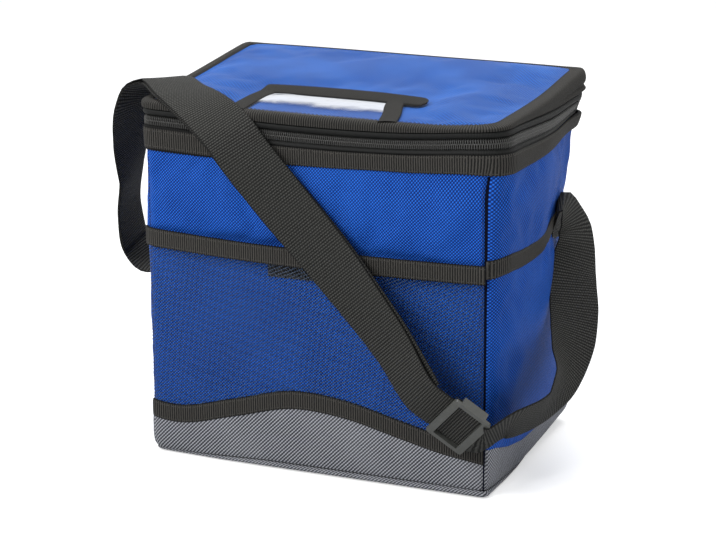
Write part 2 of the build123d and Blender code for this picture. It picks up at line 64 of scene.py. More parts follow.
# %% A sheet from a grid
def piece(name, rows, uv=None, material=None, close=False, flip=False):
    """A flat grid whose points are moved to rows[i][j] in mm; close joins the last row to the first."""
    rows = np.asarray(rows, float)
    uv = rows[..., :2] if uv is None else np.asarray(uv, float)
    number = np.arange(rows.shape[0] * rows.shape[1]).reshape(rows.shape[:2])
    if close:
        end = 2 * uv[-1:] - uv[-2:-1]
        rows = np.concatenate([rows, rows[:1]])
        uv = np.concatenate([uv, np.stack([end[..., 0], uv[:1, :, 1]], -1)])
        number = np.concatenate([number, number[:1]])
    n, m = rows.shape[:2]
    bm = bmesh.new()
    bmesh.ops.create_grid(bm, x_segments=n - 1, y_segments=m - 1, size=1.0)
    layer = bm.loops.layers.uv.new("UVMap")
    place = bm.verts.layers.int.new("place")
    bm.verts.ensure_lookup_table()
    for vert in bm.verts:
        i, j = vert.index % n, vert.index // n
        vert.co = Vector(rows[i, j]) * MM
        vert[place] = int(number[i, j])
    for face in bm.faces:
        face.smooth = True
        for loop in face.loops:
            k = loop.vert.index
            loop[layer].uv = Vector(uv[k % n, k // n]) * MM
    if close:
        bmesh.ops.remove_doubles(bm, verts=bm.verts[:], dist=1e-7)
    if flip:
        bmesh.ops.reverse_faces(bm, faces=bm.faces[:])
    return finish_mesh(name, bm, material)


print("sheets start as a grid")


# %% [markdown]
# Stitches and zipper teeth are short closed threads, and there are hundreds of
# each. A tube for each would take hundreds of operator calls on a growing mesh.
# One long grid, cut across between the threads, wrapped round and capped at
# every end, gives them all in five calls.

# %% Many short tubes
def tubes(name, rings, material):
    """Closed tubes from rings[tube][ring][side] in mm: one grid, cut between them, wrapped and capped."""
    count, length, sides = rings.shape[:3]
    n = count * length
    points = np.concatenate([rings, rings[:, :, :1]], axis=2).reshape(n, sides + 1, 3)
    bm = bmesh.new()
    bmesh.ops.create_grid(bm, x_segments=n - 1, y_segments=sides, size=1.0)
    bm.verts.ensure_lookup_table()
    for vert in bm.verts:
        vert.co = Vector(points[vert.index % n, vert.index // n]) * MM
    gaps = [f for f in bm.faces if (min(v.index % n for v in f.verts) + 1) % length == 0]
    bmesh.ops.delete(bm, geom=gaps, context="FACES")
    bmesh.ops.remove_doubles(bm, verts=bm.verts[:], dist=1e-7)
    for face in bm.faces:
        face.smooth = True
    ends = [e for e in bm.edges if e.is_boundary]
    for cap in bmesh.ops.holes_fill(bm, edges=ends, sides=0)["faces"]:
        cap.smooth = False
    bmesh.ops.recalc_face_normals(bm, faces=bm.faces[:])
    return finish_mesh(name, bm, material)


print("tubes are cut from one grid")


# %% [markdown]
# Every piece ends in the same way: the bmesh is written to an object that sits
# at the origin, gets its finish, and is smoothed or given a thickness by a
# modifier, so the grid itself can stay coarse.

# %% Objects and modifiers
def finish_mesh(name, bm, material):
    """Write a bmesh to a new object in the scene."""
    mesh = bpy.data.meshes.new(name)
    bm.to_mesh(mesh)
    bm.free()
    obj = bpy.data.objects.new(name, mesh)
    bpy.context.scene.collection.objects.link(obj)
    if material:
        mesh.materials.append(material)
    return obj


def subdivide(obj):
    """Catmull-Clark smoothing, the same on screen and in the render."""
    mod = obj.modifiers.new("Smooth", "SUBSURF")
    mod.levels = 1
    mod.render_levels = 1
    mod.boundary_smooth = "PRESERVE_CORNERS"
    return obj


def thicken(obj, mm):
    """Give a sheet its thickness, on its inner side."""
    mod = obj.modifiers.new("Thickness", "SOLIDIFY")
    mod.thickness = mm * MM
    mod.offset = -1.0


print("objects stay at the origin; their place is in their mesh")


# %% [markdown]
# Cloth has no hard changes. A fold, a bulge or a pulled seam fades in and out,
# so the shapes below are mixed from three things: a soft step, a soft hill and
# smooth noise. The noise is Blender's own and takes no random seed, so the bag
# comes out the same on every run.

# %% Soft steps, hills and ripples
def smoothstep(x, a, b):
    """0 below a, 1 above b and a soft slope between them."""
    t = np.clip((np.asarray(x, float) - a) / (b - a), 0.0, 1.0)
    return t * t * (3 - 2 * t)


def bump(x, centre, width):
    """A soft hill of height 1."""
    return np.exp(-((np.asarray(x, float) - centre) / width) ** 2)


def ripple(x, y, z, scale, seed=0.0):
    """Smooth noise between about -1 and 1, the same every run."""
    return noise.noise(Vector((x / scale + seed, y / scale - seed, z / scale + 3.1 * seed)))


def rippled(x, y, depth, scale, seed):
    """The same noise over whole grids of x and y, at one depth."""
    points = zip(x.ravel(), y.ravel())
    return np.array([ripple(a, b, depth, scale, seed) for a, b in points]).reshape(x.shape)


def across_grid(n, m):
    """Two n by m grids that run from 0 to 1, one along each side."""
    return np.meshgrid(np.linspace(0, 1, n), np.linspace(0, 1, m), indexing="ij")


print("half way up a soft step:", float(smoothstep(0.5, 0, 1)))

# %% [markdown]
# ## The shape of the bag
# Seen from above the bag is a rounded rectangle, but cloth over foam never
# stays one: the right side swells out under the lid, the left side leans out at
# the top, and the bottom edge tucks under. Each trim could be fitted to the
# walls one by one. Here one function gives every point of the bag instead, so
# all the trims agree: `s` is the distance round the bag from the front-left
# seam, anticlockwise seen from above, and `z` the height.

# %% Main sizes and the nominal plan
HW = 132.5                                # half the width
HD = 93.0                                 # half the depth
S_FR = 2 * HW                             # the front-right seam
S_RR = S_FR + 2 * HD                      # the rear-right seam
S_RL = S_RR + 2 * HW                      # the rear-left seam
PER = S_RL + 2 * HD                       # once round
SEAMS = (0.0, S_FR, S_RR, S_RL, PER)
WALL_TOP = 243.0
ZIP_Z = 248.5                             # centre line of the zipper
LID_FRONT = 264.5                         # top of the lid's edge at the front
LID_REAR = 272.0                          # and at the rear


def rect_point(s):
    """Point on the sharp rectangle."""
    s = np.mod(s, PER)
    x = np.where(s < S_FR, s - HW, np.where(s < S_RR, HW, np.where(s < S_RL, HW - (s - S_RR), -HW)))
    y = np.where(s < S_FR, -HD, np.where(s < S_RR, s - S_FR - HD, np.where(s < S_RL, HD, HD - (s - S_RL))))
    return x, y


def corner_window(s, z):
    """Half width of the window that rounds a corner; the front-right seam is sharp below the rim."""
    near = np.abs(np.mod(s, PER) - S_FR) < 60
    return np.where(near, 2.5 + 12.0 * smoothstep(z, 214, 242), 10.0)


print("once round the bag:", PER, "mm")

# %% [markdown]
# The foam of the right wall is pushed out by the over-full lid, most just under
# the rim. A lattice or sculpting would do, but a table of how far the wall
# stands out at each height is easier to change and keeps the wall, its ribbons
# and the zipper on one surface.

# %% Swell of the walls
SWELL_Z = [0, 8, 40, 110, 171, 215, 236, 250, 258, 272]
SWELL = [0, 2, 6.5, 9, 11, 13, 14.0, 12.5, 10.5, 9]
FADE_Z = [0, 60, 180, 229, 244, 252, 262, 272]
FADE = [1.0, 1.2, 1.5, .95, .75, .50, .28, .22]


def plan(s, z):
    """Point on the outside of the shell, in mm."""
    s, z = np.broadcast_arrays(np.asarray(s, float), np.asarray(z, float))
    w = corner_window(s, z)
    x = np.zeros(s.shape)
    y = np.zeros(s.shape)
    for k in np.linspace(-1, 1, 13):
        px, py = rect_point(s + k * w)
        x += px / 13
        y += py / 13
    sm = np.mod(s, PER)
    right = sm - S_FR                    # distance along the right side from the front seam
    left = PER - sm                      # distance along the left side from the front seam
    # right side, which is swollen under the lid, flat at the base, turned quickly at the front seam
    swell = np.interp(z, SWELL_Z, SWELL)
    high = smoothstep(z, 214, 242)
    sharp = np.where(right > 0, np.sqrt(np.clip(right / 17.0, 0, 1)), 0.0)
    turn = (1 - high) * sharp + high * smoothstep(right, -20, 20)
    faded = np.interp(z, FADE_Z, FADE)
    on_right = (right > -30) & (right < 186)
    x = x + np.where(on_right, swell * turn * (1 - smoothstep(right, 70, 186) * faded), 0.0)
    past = np.where(sm >= S_RR, np.exp(-((sm - S_RR) / 16.0)), 0.0)
    x = x + swell * past * (1 - faded)
    # left side: pushed out at the pocket band and by the lid's own edge
    lid_out = np.interp(z, [254, 260, 272], [0, 4.5, 6.5])
    at_band = 3.5 * bump(z, 176, 24) * np.exp(-np.clip(left, 0, None) / 60)
    out_left = lid_out * (0.45 + 0.55 * smoothstep(left, 60, 186)) + at_band
    x = x - np.where(sm > S_RL, out_left * smoothstep(left, 0, 12), 0.0)
    rear_left = np.where(sm <= S_RL, np.exp(-((S_RL - sm) / 16.0)), 0.0)
    x = x - rear_left * lid_out
    return x, y, z


print("right side at the rim stands", round(float(plan(330, 236)[0]) - HW, 1), "mm proud")

# %% [markdown]
# The bag stands on a board, but the cloth beyond the board hangs free and tucks
# under, most of all at the rear right. The edge is a rounding whose radius
# changes on the way round. A spline through a few given heights gives the
# other lines that wander: the wave at the front, the ribbons and the lifted
# rim.

# %% Bottom edge and smooth curves
TUCK_S = [0, 20, 60, 200, 262, 300, 330, 370, 451, 520, 716, 820, 902]
TUCK = [8, 6, 3, 2, 1.2, 2, 5, 12, 23, 14, 12, 10, 8]


def tuck_radius(s):
    """Radius of the bottom edge, which is sharp at the front-right seam and soft at the rear."""
    return np.interp(np.mod(s, PER), TUCK_S, TUCK)


def spline(knots, values, at):
    """Smooth curve through a few points (Catmull-Rom)."""
    knots, values = np.asarray(knots, float), np.asarray(values, float)
    at = np.clip(np.asarray(at, float), knots[0], knots[-1])
    i = np.clip(np.searchsorted(knots, at, side="right") - 1, 0, len(knots) - 2)
    slope = np.gradient(values, knots)
    h = knots[i + 1] - knots[i]
    t = (at - knots[i]) / h
    return ((2 * t ** 3 - 3 * t ** 2 + 1) * values[i] + (t ** 3 - 2 * t ** 2 + t) * h * slope[i]
            + (-2 * t ** 3 + 3 * t ** 2) * values[i + 1] + (t ** 3 - t ** 2) * h * slope[i + 1])


print("bottom edge: radius", min(TUCK), "to", max(TUCK), "mm")

# %% [markdown]
# A full bag pushes its lid up, and here the front-right corner is lifted by
# about 7 mm while the rear edge stays level. The rim, the zipper and the lid's
# edge rise by different amounts, so there is one curve for each, and heights
# between them share the difference.

# %% Lift of the rim, the zipper and the lid
LIFT_S = [0, 45, 126, 168, 202, 224, 262, 285, 325, 368, 451, 560, 700, 780, 850, 878, 886, 894, 902]
LIFT_RIM = [0.5, -0.6, -0.4, 1.1, 2.2, 3.2, 4.8, 3.6, 3.0, 2.6, 2.0, 0, 0, 0, 0, 0, 0, 0.2, 0.5]
LIFT_ZIP = [3.2, 2.0, 0.3, 0.7, 2.1, 3.9, 7.4, 7.6, 5.0, 1.8, 0, 0, 0, 0, 0, 0, 0, 1.1, 3.2]
LIFT_TOP = [1.0, 0.4, 0.0, 0.1, 0.2, 0.4, 2.6, 3.0, 1.6, 0.8, 3.0, 3.2, 3.0, 1.4, 0.5, 0.5, 0.6, 0.8, 1.0]


def lift(s, z, top=LID_FRONT):
    """Rise of a point whose nominal height is z; top is the height of the lid's edge there."""
    sm = np.mod(s, PER)
    rim, zip_, edge = (spline(LIFT_S, v, sm) for v in (LIFT_RIM, LIFT_ZIP, LIFT_TOP))
    z = np.asarray(z, float)
    low = rim * smoothstep(z, 205, 229)
    middle = rim + (zip_ - rim) * np.clip((z - 229) / 19.5, 0, 1)
    share = np.clip((z - 257.0) / (np.asarray(top, float) - 257.0), 0, 1)
    high = zip_ + (edge - zip_) * share
    return np.where(z < 229, low, np.where(z < 248.5, middle, high))


print("the zipper is lifted by up to", max(LIFT_ZIP), "mm")


# %% [markdown]
# With the plan, the bottom edge and the lift in place, `surf` puts them
# together. It also steps off the surface by `out`, square to it, which is how
# every ribbon and tooth gets its place. Grids need more lines at the corners
# than along the walls, and `stations_s` spreads them so.

# %% Any point of the bag
def surf(s, z, out=0.0):
    """Point on the bag, `out` mm off its surface, with the bottom edge tucked under."""
    s, z, out = np.broadcast_arrays(np.asarray(s, float), np.asarray(z, float), np.asarray(out, float))
    x, y, _ = plan(s, z)
    x1, y1, _ = plan(s + 0.8, z)
    x0, y0, _ = plan(s - 0.8, z)
    tx, ty = x1 - x0, y1 - y0
    length = np.hypot(tx, ty) + 1e-9
    nx, ny = ty / length, -tx / length
    r = tuck_radius(s)
    low = np.clip(r - z, 0, r)
    inset = r - np.sqrt(np.clip(r * r - low * low, 0, None))
    d = out - inset
    return np.stack([x + nx * d, y + ny * d, z + lift(s, z)], axis=-1)


def lid_top(y):
    """Nominal height of the lid at depth y."""
    return LID_FRONT + (np.asarray(y, float) + HD) / (2 * HD) * (LID_REAR - LID_FRONT)


def stations_s(a, b, step):
    """Distances from a to b, closer together round the corners."""
    knots = [a, b]
    for c in SEAMS:
        for d in (-12, -8, -5, -2.5, -1, 0, 1, 2, 4, 6, 9, 12, 16, 20):
            if a < c + d < b:
                knots.append(c + d)
    base = list(np.arange(a, b, step))
    values = sorted(set(np.round(base + knots, 3)))
    kept = [values[0]]
    for v in values[1:-1]:
        if v - kept[-1] > 0.9 and values[-1] - v > 0.9:
            kept.append(v)
    return np.array(kept + [values[-1]])


print("lines round the bag at a 4 mm step:", len(stations_s(0.0, PER, 4.0)))

# %% [markdown]
# ## Materials
# Every material is made by nodes, so nothing is read from a picture and the
# pattern never blurs. The cloths read the piece's UVs, which are in metres: a
# 1.8 mm rib is 1.8 mm wide on every ribbon. The moulded parts have no UVs and
# read Object coordinates. A small class keeps the node code short: each method
# adds one node and returns its output.

# %% Node helpers
class Graph:
    """A material under construction."""

    def __init__(self, name):
        self.mat = bpy.data.materials.new(name)
        self.mat.use_nodes = True
        self.tree = self.mat.node_tree
        self.tree.nodes.clear()
        self.out = self.tree.nodes.new("ShaderNodeOutputMaterial")
        self.bsdf = self.tree.nodes.new("ShaderNodeBsdfPrincipled")
        self.tree.links.new(self.bsdf.outputs[0], self.out.inputs[0])

    def put(self, socket, value):
        """Link a socket to another one, or set it to a plain value."""
        if isinstance(value, bpy.types.NodeSocket):
            self.tree.links.new(value, socket)
        else:
            socket.default_value = value

    def math(self, op, a, b=0.0):
        """One sum of two values."""
        n = self.tree.nodes.new("ShaderNodeMath")
        n.operation = op
        self.put(n.inputs[0], a)
        self.put(n.inputs[1], b)
        return n.outputs[0]

    def add(self, a, b):
        return self.math("ADD", a, b)

    def less(self, a, b):
        return self.math("SUBTRACT", a, b)

    def times(self, a, b):
        return self.math("MULTIPLY", a, b)

    def size(self, a):
        return self.math("ABSOLUTE", a)

    def wave(self, a):
        return self.math("SINE", a)

    def power(self, a, b):
        return self.math("POWER", a, b)

    def vector(self, source):
        """Coordinates in mm from the UVs or the object, whole and split into X, Y and Z."""
        tc = self.tree.nodes.new("ShaderNodeTexCoord")
        mp = self.tree.nodes.new("ShaderNodeMapping")
        mp.inputs["Scale"].default_value = (1 / MM,) * 3
        self.put(mp.inputs[0], tc.outputs[source])
        sep = self.tree.nodes.new("ShaderNodeSeparateXYZ")
        self.put(sep.inputs[0], mp.outputs[0])
        return mp.outputs[0], sep.outputs

    def noise(self, vector, scale, detail=2.0, rough=0.5):
        """Smooth noise; scale is in waves per mm."""
        n = self.tree.nodes.new("ShaderNodeTexNoise")
        n.inputs["Scale"].default_value = scale
        n.inputs["Detail"].default_value = detail
        n.inputs["Roughness"].default_value = rough
        self.put(n.inputs["Vector"], vector)
        return n.outputs[0]

    def mix(self, fac, a, b):
        """Colour a where fac is 0 and b where it is 1."""
        n = self.tree.nodes.new("ShaderNodeMix")
        n.data_type = "RGBA"
        self.put(n.inputs[0], fac)
        for socket, value in ((n.inputs[6], a), (n.inputs[7], b)):
            self.put(socket, value if isinstance(value, bpy.types.NodeSocket) else (*value, 1.0))
        return n.outputs[2]

    def ramp(self, value, low, high, to_low=0.0, to_high=1.0):
        """A soft step from to_low to to_high while value goes from low to high."""
        n = self.tree.nodes.new("ShaderNodeMapRange")
        n.interpolation_type = "SMOOTHSTEP"
        self.put(n.inputs[0], value)
        for i, v in enumerate((low, high, to_low, to_high)):
            n.inputs[i + 1].default_value = v
        return n.outputs[0]

    def relief(self, height, mm, strength=1.0):
        """Bumps as high as mm where height is 1."""
        n = self.tree.nodes.new("ShaderNodeBump")
        n.inputs["Strength"].default_value = strength
        n.inputs["Distance"].default_value = mm * MM
        self.put(n.inputs["Height"], height)
        self.put(self.bsdf.inputs["Normal"], n.outputs[0])

    def finish(self, color, rough, **plain):
        """Colour and roughness, and plain numbers for the shader's other sockets."""
        self.put(self.bsdf.inputs["Base Color"], color)
        self.put(self.bsdf.inputs["Roughness"], rough)
        for key, value in plain.items():
            self.bsdf.inputs[key.replace("_", " ")].default_value = value
        return self.mat


def tone(color, k, add=0.0):
    """A colour made k times as bright."""
    return tuple(min(1.0, c * k + add) for c in color)


print("node helpers ready")

# %% [markdown]
# The walls and the base are thick nylon in plain weave: a warp thread passes
# over one weft thread and under the next. Its tops are a painted highlight,
# bright on a deep, dark ground, and the grooves get painted shade. A picture
# of cloth would tile and blur. Two crossed sine waves give
# one top per thread crossing instead, and a third wave, by `lean`, draws the
# tops into slanting rows, as a twisted yarn does. Noise adds wear and fibres.

# %% Woven nylon
def woven(name, light, dark, cell, depth, rough=0.55, sheen=0.02, wear=0.10, spec=0.25, lean=0.0, cover=0.1):
    """Plain weave: bright tops of the warp as a painted highlight on a deep ground, with painted shade in
    the grooves; lean draws them into rows that fall or rise.
    """
    g = Graph(name)
    vec, xyz = g.vector("UV")
    u, v = xyz[0], xyz[1]
    wobble = g.times(g.less(g.noise(vec, 0.25, 2), 0.5), 0.35)
    a = g.times(g.add(u, wobble), math.pi / cell)
    b = g.times(g.less(v, wobble), math.pi / cell)
    crossing = g.times(g.wave(a), g.wave(b))
    row = g.math("COSINE", g.add(a, b) if lean > 0 else g.less(a, b))
    weave = g.add(g.times(crossing, 1 - abs(lean)), g.times(row, abs(lean)))
    top = g.ramp(weave, cover - 0.55, cover + 0.65)
    groove = g.power(g.size(weave), 0.5)
    large = g.noise(vec, 0.02, 3)
    fine = g.noise(vec, 1.6, 2)
    # painted highlight: the thread tops are coloured bright on a dark ground
    color = g.mix(top, dark, light)
    # painted shade: the grooves between the threads are darkened
    color = g.mix(g.ramp(groove, 0.0, 0.5, 0.5, 0.0), color, tone(dark, 0.4))
    color = g.mix(g.ramp(large, 0.35, 0.75, 0.0, wear), color, tone(light, 1.25, 0.01))
    color = g.mix(g.ramp(fine, 0.45, 0.8, 0.0, 0.22), color, tone(dark, 0.5))
    g.relief(g.add(groove, g.times(fine, 0.35)), depth)
    roughness = g.add(rough - 0.08, g.times(top, 0.16))
    return g.finish(color, roughness, Sheen_Weight=sheen, Sheen_Roughness=0.4, Specular_IOR_Level=spec)


blue = woven("blue_ballistic_nylon", (0.021, 0.175, 0.80), (0.001, 0.010, 0.115), 1.2, 0.24,
             rough=0.6, spec=0.10, lean=0.08, cover=0.10)
blue_top = woven("blue_top_nylon", (0.020, 0.145, 0.54), (0.001, 0.030, 0.20), 1.5, 0.30,
                 rough=0.5, wear=0.35, spec=0.16)
grey = woven("grey_base_nylon", (0.45, 0.46, 0.495), (0.034, 0.036, 0.045), 1.4, 0.30,
             rough=0.65, spec=0.12, lean=-0.5, cover=0.16)
print("woven:", [m.name for m in (blue, blue_top, grey)])


# %% [markdown]
# The trims are grosgrain: a ribbon with ribs straight across, sewn down along
# both edges. The strap is webbing, whose ribs break into beads. One material
# function serves both: ribs are a sharpened sine wave along the run, beads a
# second wave across it that steps sideways on every other rib, and the stitched
# row is a dashed line at a fixed distance from the middle. The rib crests are
# coloured light on a near-black ground as a painted highlight, and the ribbons
# on the lid get dimmer copies: painted shade against the top light.

# %% Ribbon, tape and webbing
def ribbed(name, dark, light, pitch, depth, half=0.0, dots=0.0, rough=0.62, stitch=0.0):
    """Ribbon or webbing: ribs across its run with a painted highlight on their crests, broken into beads by
    dots, a selvage and a stitched row.
    """
    g = Graph(name)
    vec, xyz = g.vector("UV")
    u, v = xyz[0], xyz[1]
    wobble = g.times(g.less(g.noise(vec, 0.5, 2), 0.5), 0.3 * pitch)
    phase = g.times(g.add(u, wobble), math.pi / pitch)
    rib = g.power(g.size(g.wave(phase)), 3.0)
    if dots:
        side_step = g.times(g.math("SIGN", g.wave(phase)), math.pi / 4)
        bead = g.size(g.wave(g.add(g.times(v, math.pi / dots), side_step)))
        rib = g.times(rib, g.add(0.25, g.times(g.power(bead, 1.5), 0.75)))
    fine = g.noise(vec, 2.2, 3)
    large = g.noise(vec, 0.05, 2)
    # painted highlight: the rib crests are coloured light on a near-black ground
    color = g.mix(rib, dark, light)
    color = g.mix(g.ramp(fine, 0.5, 0.85, 0.0, 0.5), color, tone(light, 1.5))
    color = g.mix(g.ramp(large, 0.4, 0.8, 0.0, 0.25), color, tone(light, 0.35))
    height = g.add(rib, g.times(fine, 0.3))
    if half:
        edge = g.ramp(g.size(v), half - 1.0, half - 0.1)
        color = g.mix(edge, color, tone(dark, 1.5))
        height = g.times(height, g.less(1.0, g.times(edge, 0.5)))
    if stitch:
        off = g.size(g.less(g.size(v), stitch))
        row = g.less(1.0, g.ramp(off, 0.18, 0.42))
        dash = g.ramp(g.size(g.wave(g.times(u, math.pi / 3.0))), 0.35, 0.6)
        thread = g.times(row, dash)
        color = g.mix(thread, color, tone(light, 0.8))
        height = g.add(g.less(height, g.times(row, 0.5)), thread)
    g.relief(height, depth)
    return g.finish(color, g.add(rough, g.times(fine, 0.12)), Specular_IOR_Level=0.14)


# INK is the near-black ground and GLINT the painted highlight on the rib crests
INK = (0.0018, 0.0018, 0.0018)
GLINT = (0.074, 0.070, 0.063)
ribbon = ribbed("black_grosgrain", INK, GLINT, 1.8, 0.35, half=7.0, stitch=5.0)
# dimmer copies for the lid's binding and document ribbons, which face the top light: painted shade
ribbon_flat_shaded = ribbed("black_flat_ribbon_shaded", INK, tone(GLINT, 0.5), 1.8, 0.35, half=6.8)
ribbon_lid_shaded = ribbed("black_lid_ribbon_shaded", INK, tone(GLINT, 0.8), 1.8, 0.35)
tape = ribbed("zipper_tape", (0.003, 0.003, 0.003), (0.022, 0.023, 0.022), 0.9, 0.12, rough=0.5)
webbing = ribbed("black_webbing", (0.0030, 0.0030, 0.0028), (0.088, 0.088, 0.081), 2.0, 0.5,
                 half=19.0, dots=2.0)
print("ribbed:", [m.name for m in (ribbon, ribbon_flat_shaded, ribbon_lid_shaded, tape, webbing)])


# %% [markdown]
# The front pocket is an open knit that lets the blue wall show through.
# Modelling each thread would take millions of faces. The sheet is real and
# hangs clear of the wall, and only its holes are made by the material: alpha is
# 1 on two sets of slanting threads and 0 between them.

# %% Knitted net
def knitted_mesh(name, thread, pitch, gap):
    """Open knit: two sets of slanting threads that cross in a lattice, with the wall seen between them."""
    g = Graph(name)
    vec, xyz = g.vector("UV")
    wobble = g.times(g.less(g.noise(vec, 0.06, 2), 0.5), 3.0)
    u = g.add(xyz[0], wobble)
    v = xyz[1]
    k = math.pi / pitch
    one = g.size(g.wave(g.times(g.less(v, g.times(u, 0.45)), k)))
    two = g.size(g.wave(g.times(g.add(v, g.times(u, 1.6)), k * 0.62)))
    field = g.times(g.power(one, 0.8), g.add(0.2, g.times(two, 0.8)))
    hole = g.ramp(field, gap - 0.14, gap + 0.14)
    fine = g.noise(vec, 3.0, 2)
    color = g.mix(fine, tone(thread, 0.5), tone(thread, 2.2))
    g.relief(g.times(field, -0.4), 0.3)
    g.put(g.bsdf.inputs["Alpha"], g.less(1.0, hole))
    return g.finish(color, 0.6, Sheen_Weight=0.1, Specular_IOR_Level=0.3)


net = knitted_mesh("pocket_net", (0.020, 0.034, 0.062), 2.6, 0.27)
print("knitted:", net.name)


# %% [markdown]
# The adjuster is grained plastic, the slider and pull are lacquered metal, the
# teeth are nylon and the lining is a white film with soft dents, whose colour
# is greyer in their hollows: painted shade. All of them need the same things: a
# base colour, fine grain, scuffs that lighten the colour, and a roughness that
# changes with the scuffs. The clear film over the document pocket is thin and
# glossy, and an alpha by depth makes it whiter and nearly opaque towards its
# rear edge: a painted reflection.

# %% Plastics, metal, lining and film
def moulded(name, base, grain=0.05, rough=0.6, wear=0.2, metallic=0.0, spec=0.5):
    """Moulded or lacquered finish: fine texture, scuffs and a little dust."""
    g = Graph(name)
    vec, _ = g.vector("Object")
    fine = g.noise(vec, 3.5, 3)
    scuff = g.noise(vec, 0.35, 5, 0.7)
    color = g.mix(g.ramp(scuff, 0.5, 0.75, 0.0, wear), base, tone(base, 1.9, 0.02))
    g.relief(fine, grain)
    roughness = g.add(rough, g.times(scuff, 0.2))
    return g.finish(color, roughness, Metallic=metallic, Specular_IOR_Level=spec)


def lining_film(name):
    """White welded lining: soft dents and a faint emboss, with painted shade that greys the dents' hollows.
    """
    g = Graph(name)
    vec, _ = g.vector("Object")
    dents = g.noise(vec, 0.06, 4, 0.6)
    emboss = g.noise(vec, 0.9, 2)
    # painted shade: the colour follows the dents' height, greyer in their hollows
    color = g.mix(dents, (0.50, 0.52, 0.54), (0.68, 0.69, 0.70))
    g.relief(g.add(dents, g.times(emboss, 0.08)), 1.6)
    return g.finish(color, g.add(0.25, g.times(emboss, 0.15)), Specular_IOR_Level=0.6)


def clear_film(name):
    """Clear vinyl: thin, glossy and creased, with a painted reflection that makes it whiter and nearly
    opaque towards its rear edge.
    """
    g = Graph(name)
    vec, xyz = g.vector("Object")
    crease = g.noise(vec, 0.05, 3, 0.55)
    g.relief(crease, 2.2, 0.6)
    # painted reflection: the film turns whiter and nearly opaque towards its rear, along an edge wobbled by
    # the creases
    reflection_depth = g.add(xyz[1], g.times(crease, 16.0))
    painted_reflection = g.ramp(reflection_depth, -66.0, -54.0, 0.04, 0.78)
    g.put(g.bsdf.inputs["Alpha"], painted_reflection)
    return g.finish((0.74, 0.77, 0.83, 1.0), 0.07, Specular_IOR_Level=0.6, IOR=1.5,
                    Coat_Weight=0.5, Coat_Roughness=0.05)


plastic = moulded("moulded_adjuster", (0.062, 0.064, 0.058), rough=0.24, wear=0.3)
lacquer = moulded("black_lacquer", (0.016, 0.016, 0.017), 0.02, rough=0.28, wear=0.5, metallic=0.6)
coil_black = moulded("nylon_coil", (0.048, 0.047, 0.044), 0.02, rough=0.22, wear=0.3)
lining = lining_film("lining_film")
film = clear_film("clear_vinyl")
thread_black = moulded("sewing_thread", (0.012, 0.012, 0.013))
print("hard finishes:", [m.name for m in (plastic, lacquer, coil_black, lining, film)])

# %% [markdown]
# ## The shell
# The blue walls are one cloth that runs all the way round. A plain loft looks
# like a painted box, because sewn nylon is a little larger than the bag and
# puckers between its seams. So the loft only gives the start: it is held at its
# seams and trims and blown out gently by a cloth simulation, and each point may
# move only a few millimetres. First come the lines that the wave, the skirt and
# the seams follow.

# %% Lines that the walls and trims follow
WAVE_S = [0, 23.5, 70, 117.5, 160, 200, 232, 265]
WAVE = [34, 32, 42.5, 54.3, 52, 43, 36, 31.5]


def wave_z(s):
    """Middle of the wavy ribbon on the front."""
    return spline(WAVE_S, WAVE, s)


def skirt_z(s):
    """Top edge of the grey skirt all round."""
    s = np.mod(np.asarray(s, float), PER)
    front = wave_z(s)
    right = np.interp(s, [265, 275, 300, 330, 451], [33.5, 33, 26, 21, 20])
    left = np.interp(s, [716, 835, 870, 895, 902], [20, 20, 25, 33, 34])
    return np.where(s < S_FR, front, np.where(s < S_RR, right, np.where(s < S_RL, 20.0, left)))


def seam_dent(s, z):
    """Stitched seams pull the cloth in, a little more at each stitch."""
    d = np.zeros(np.broadcast(s, z).shape)
    for c in SEAMS:
        pucker = 0.5 + 0.5 * np.cos(z * 2 * math.pi / 9.0)
        d = d - 1.5 * bump(s, c, 1.3) - 0.35 * bump(s, c, 5.0) * pucker
    return d


def pocket_band_mid(s):
    """Middle of the ribbon across the pocket's mouth."""
    return spline([0, 100, 190, 265], [165.5, 163.8, 163.8, 163.5], s)


def side_band_mid(s):
    """Middle of the side ribbons; the right one is lifted by the strap that is sewn to it."""
    s = np.asarray(s, float)
    right = spline([265, 281, 305, 340, 368, 385, 400, 420, 451],
                   [167.0, 168.5, 166.5, 165.5, 167.5, 173, 176, 171, 162], s)
    left = spline([716, 740, 801, 860, 902], [162, 163.5, 164, 159, 165.5], s)
    return np.where(s < 500, right, left)


print("the wave rises from", min(WAVE), "to", max(WAVE), "mm")

# %% [markdown]
# The grid has a line about every 4.6 mm round the bag and 46 from the skirt to
# the rim. Each wall gets a low crown, so that the pressure has a side to push
# to, and a dent at each seam. Behind the net the crown is nearly flat, or the
# cloth would fill the pocket.

# %% Walls before the simulation
s_wall = stations_s(0.0, PER, 4.6)[:-1]
n_wall = 46
CLOTH_TOP = 236.0


def wall_heights(s):
    """Even heights from just under the skirt's edge to the rim."""
    low = skirt_z(s) - 3.0
    return low[:, None] + (CLOTH_TOP - low)[:, None] * np.linspace(0, 1, n_wall)[None, :]


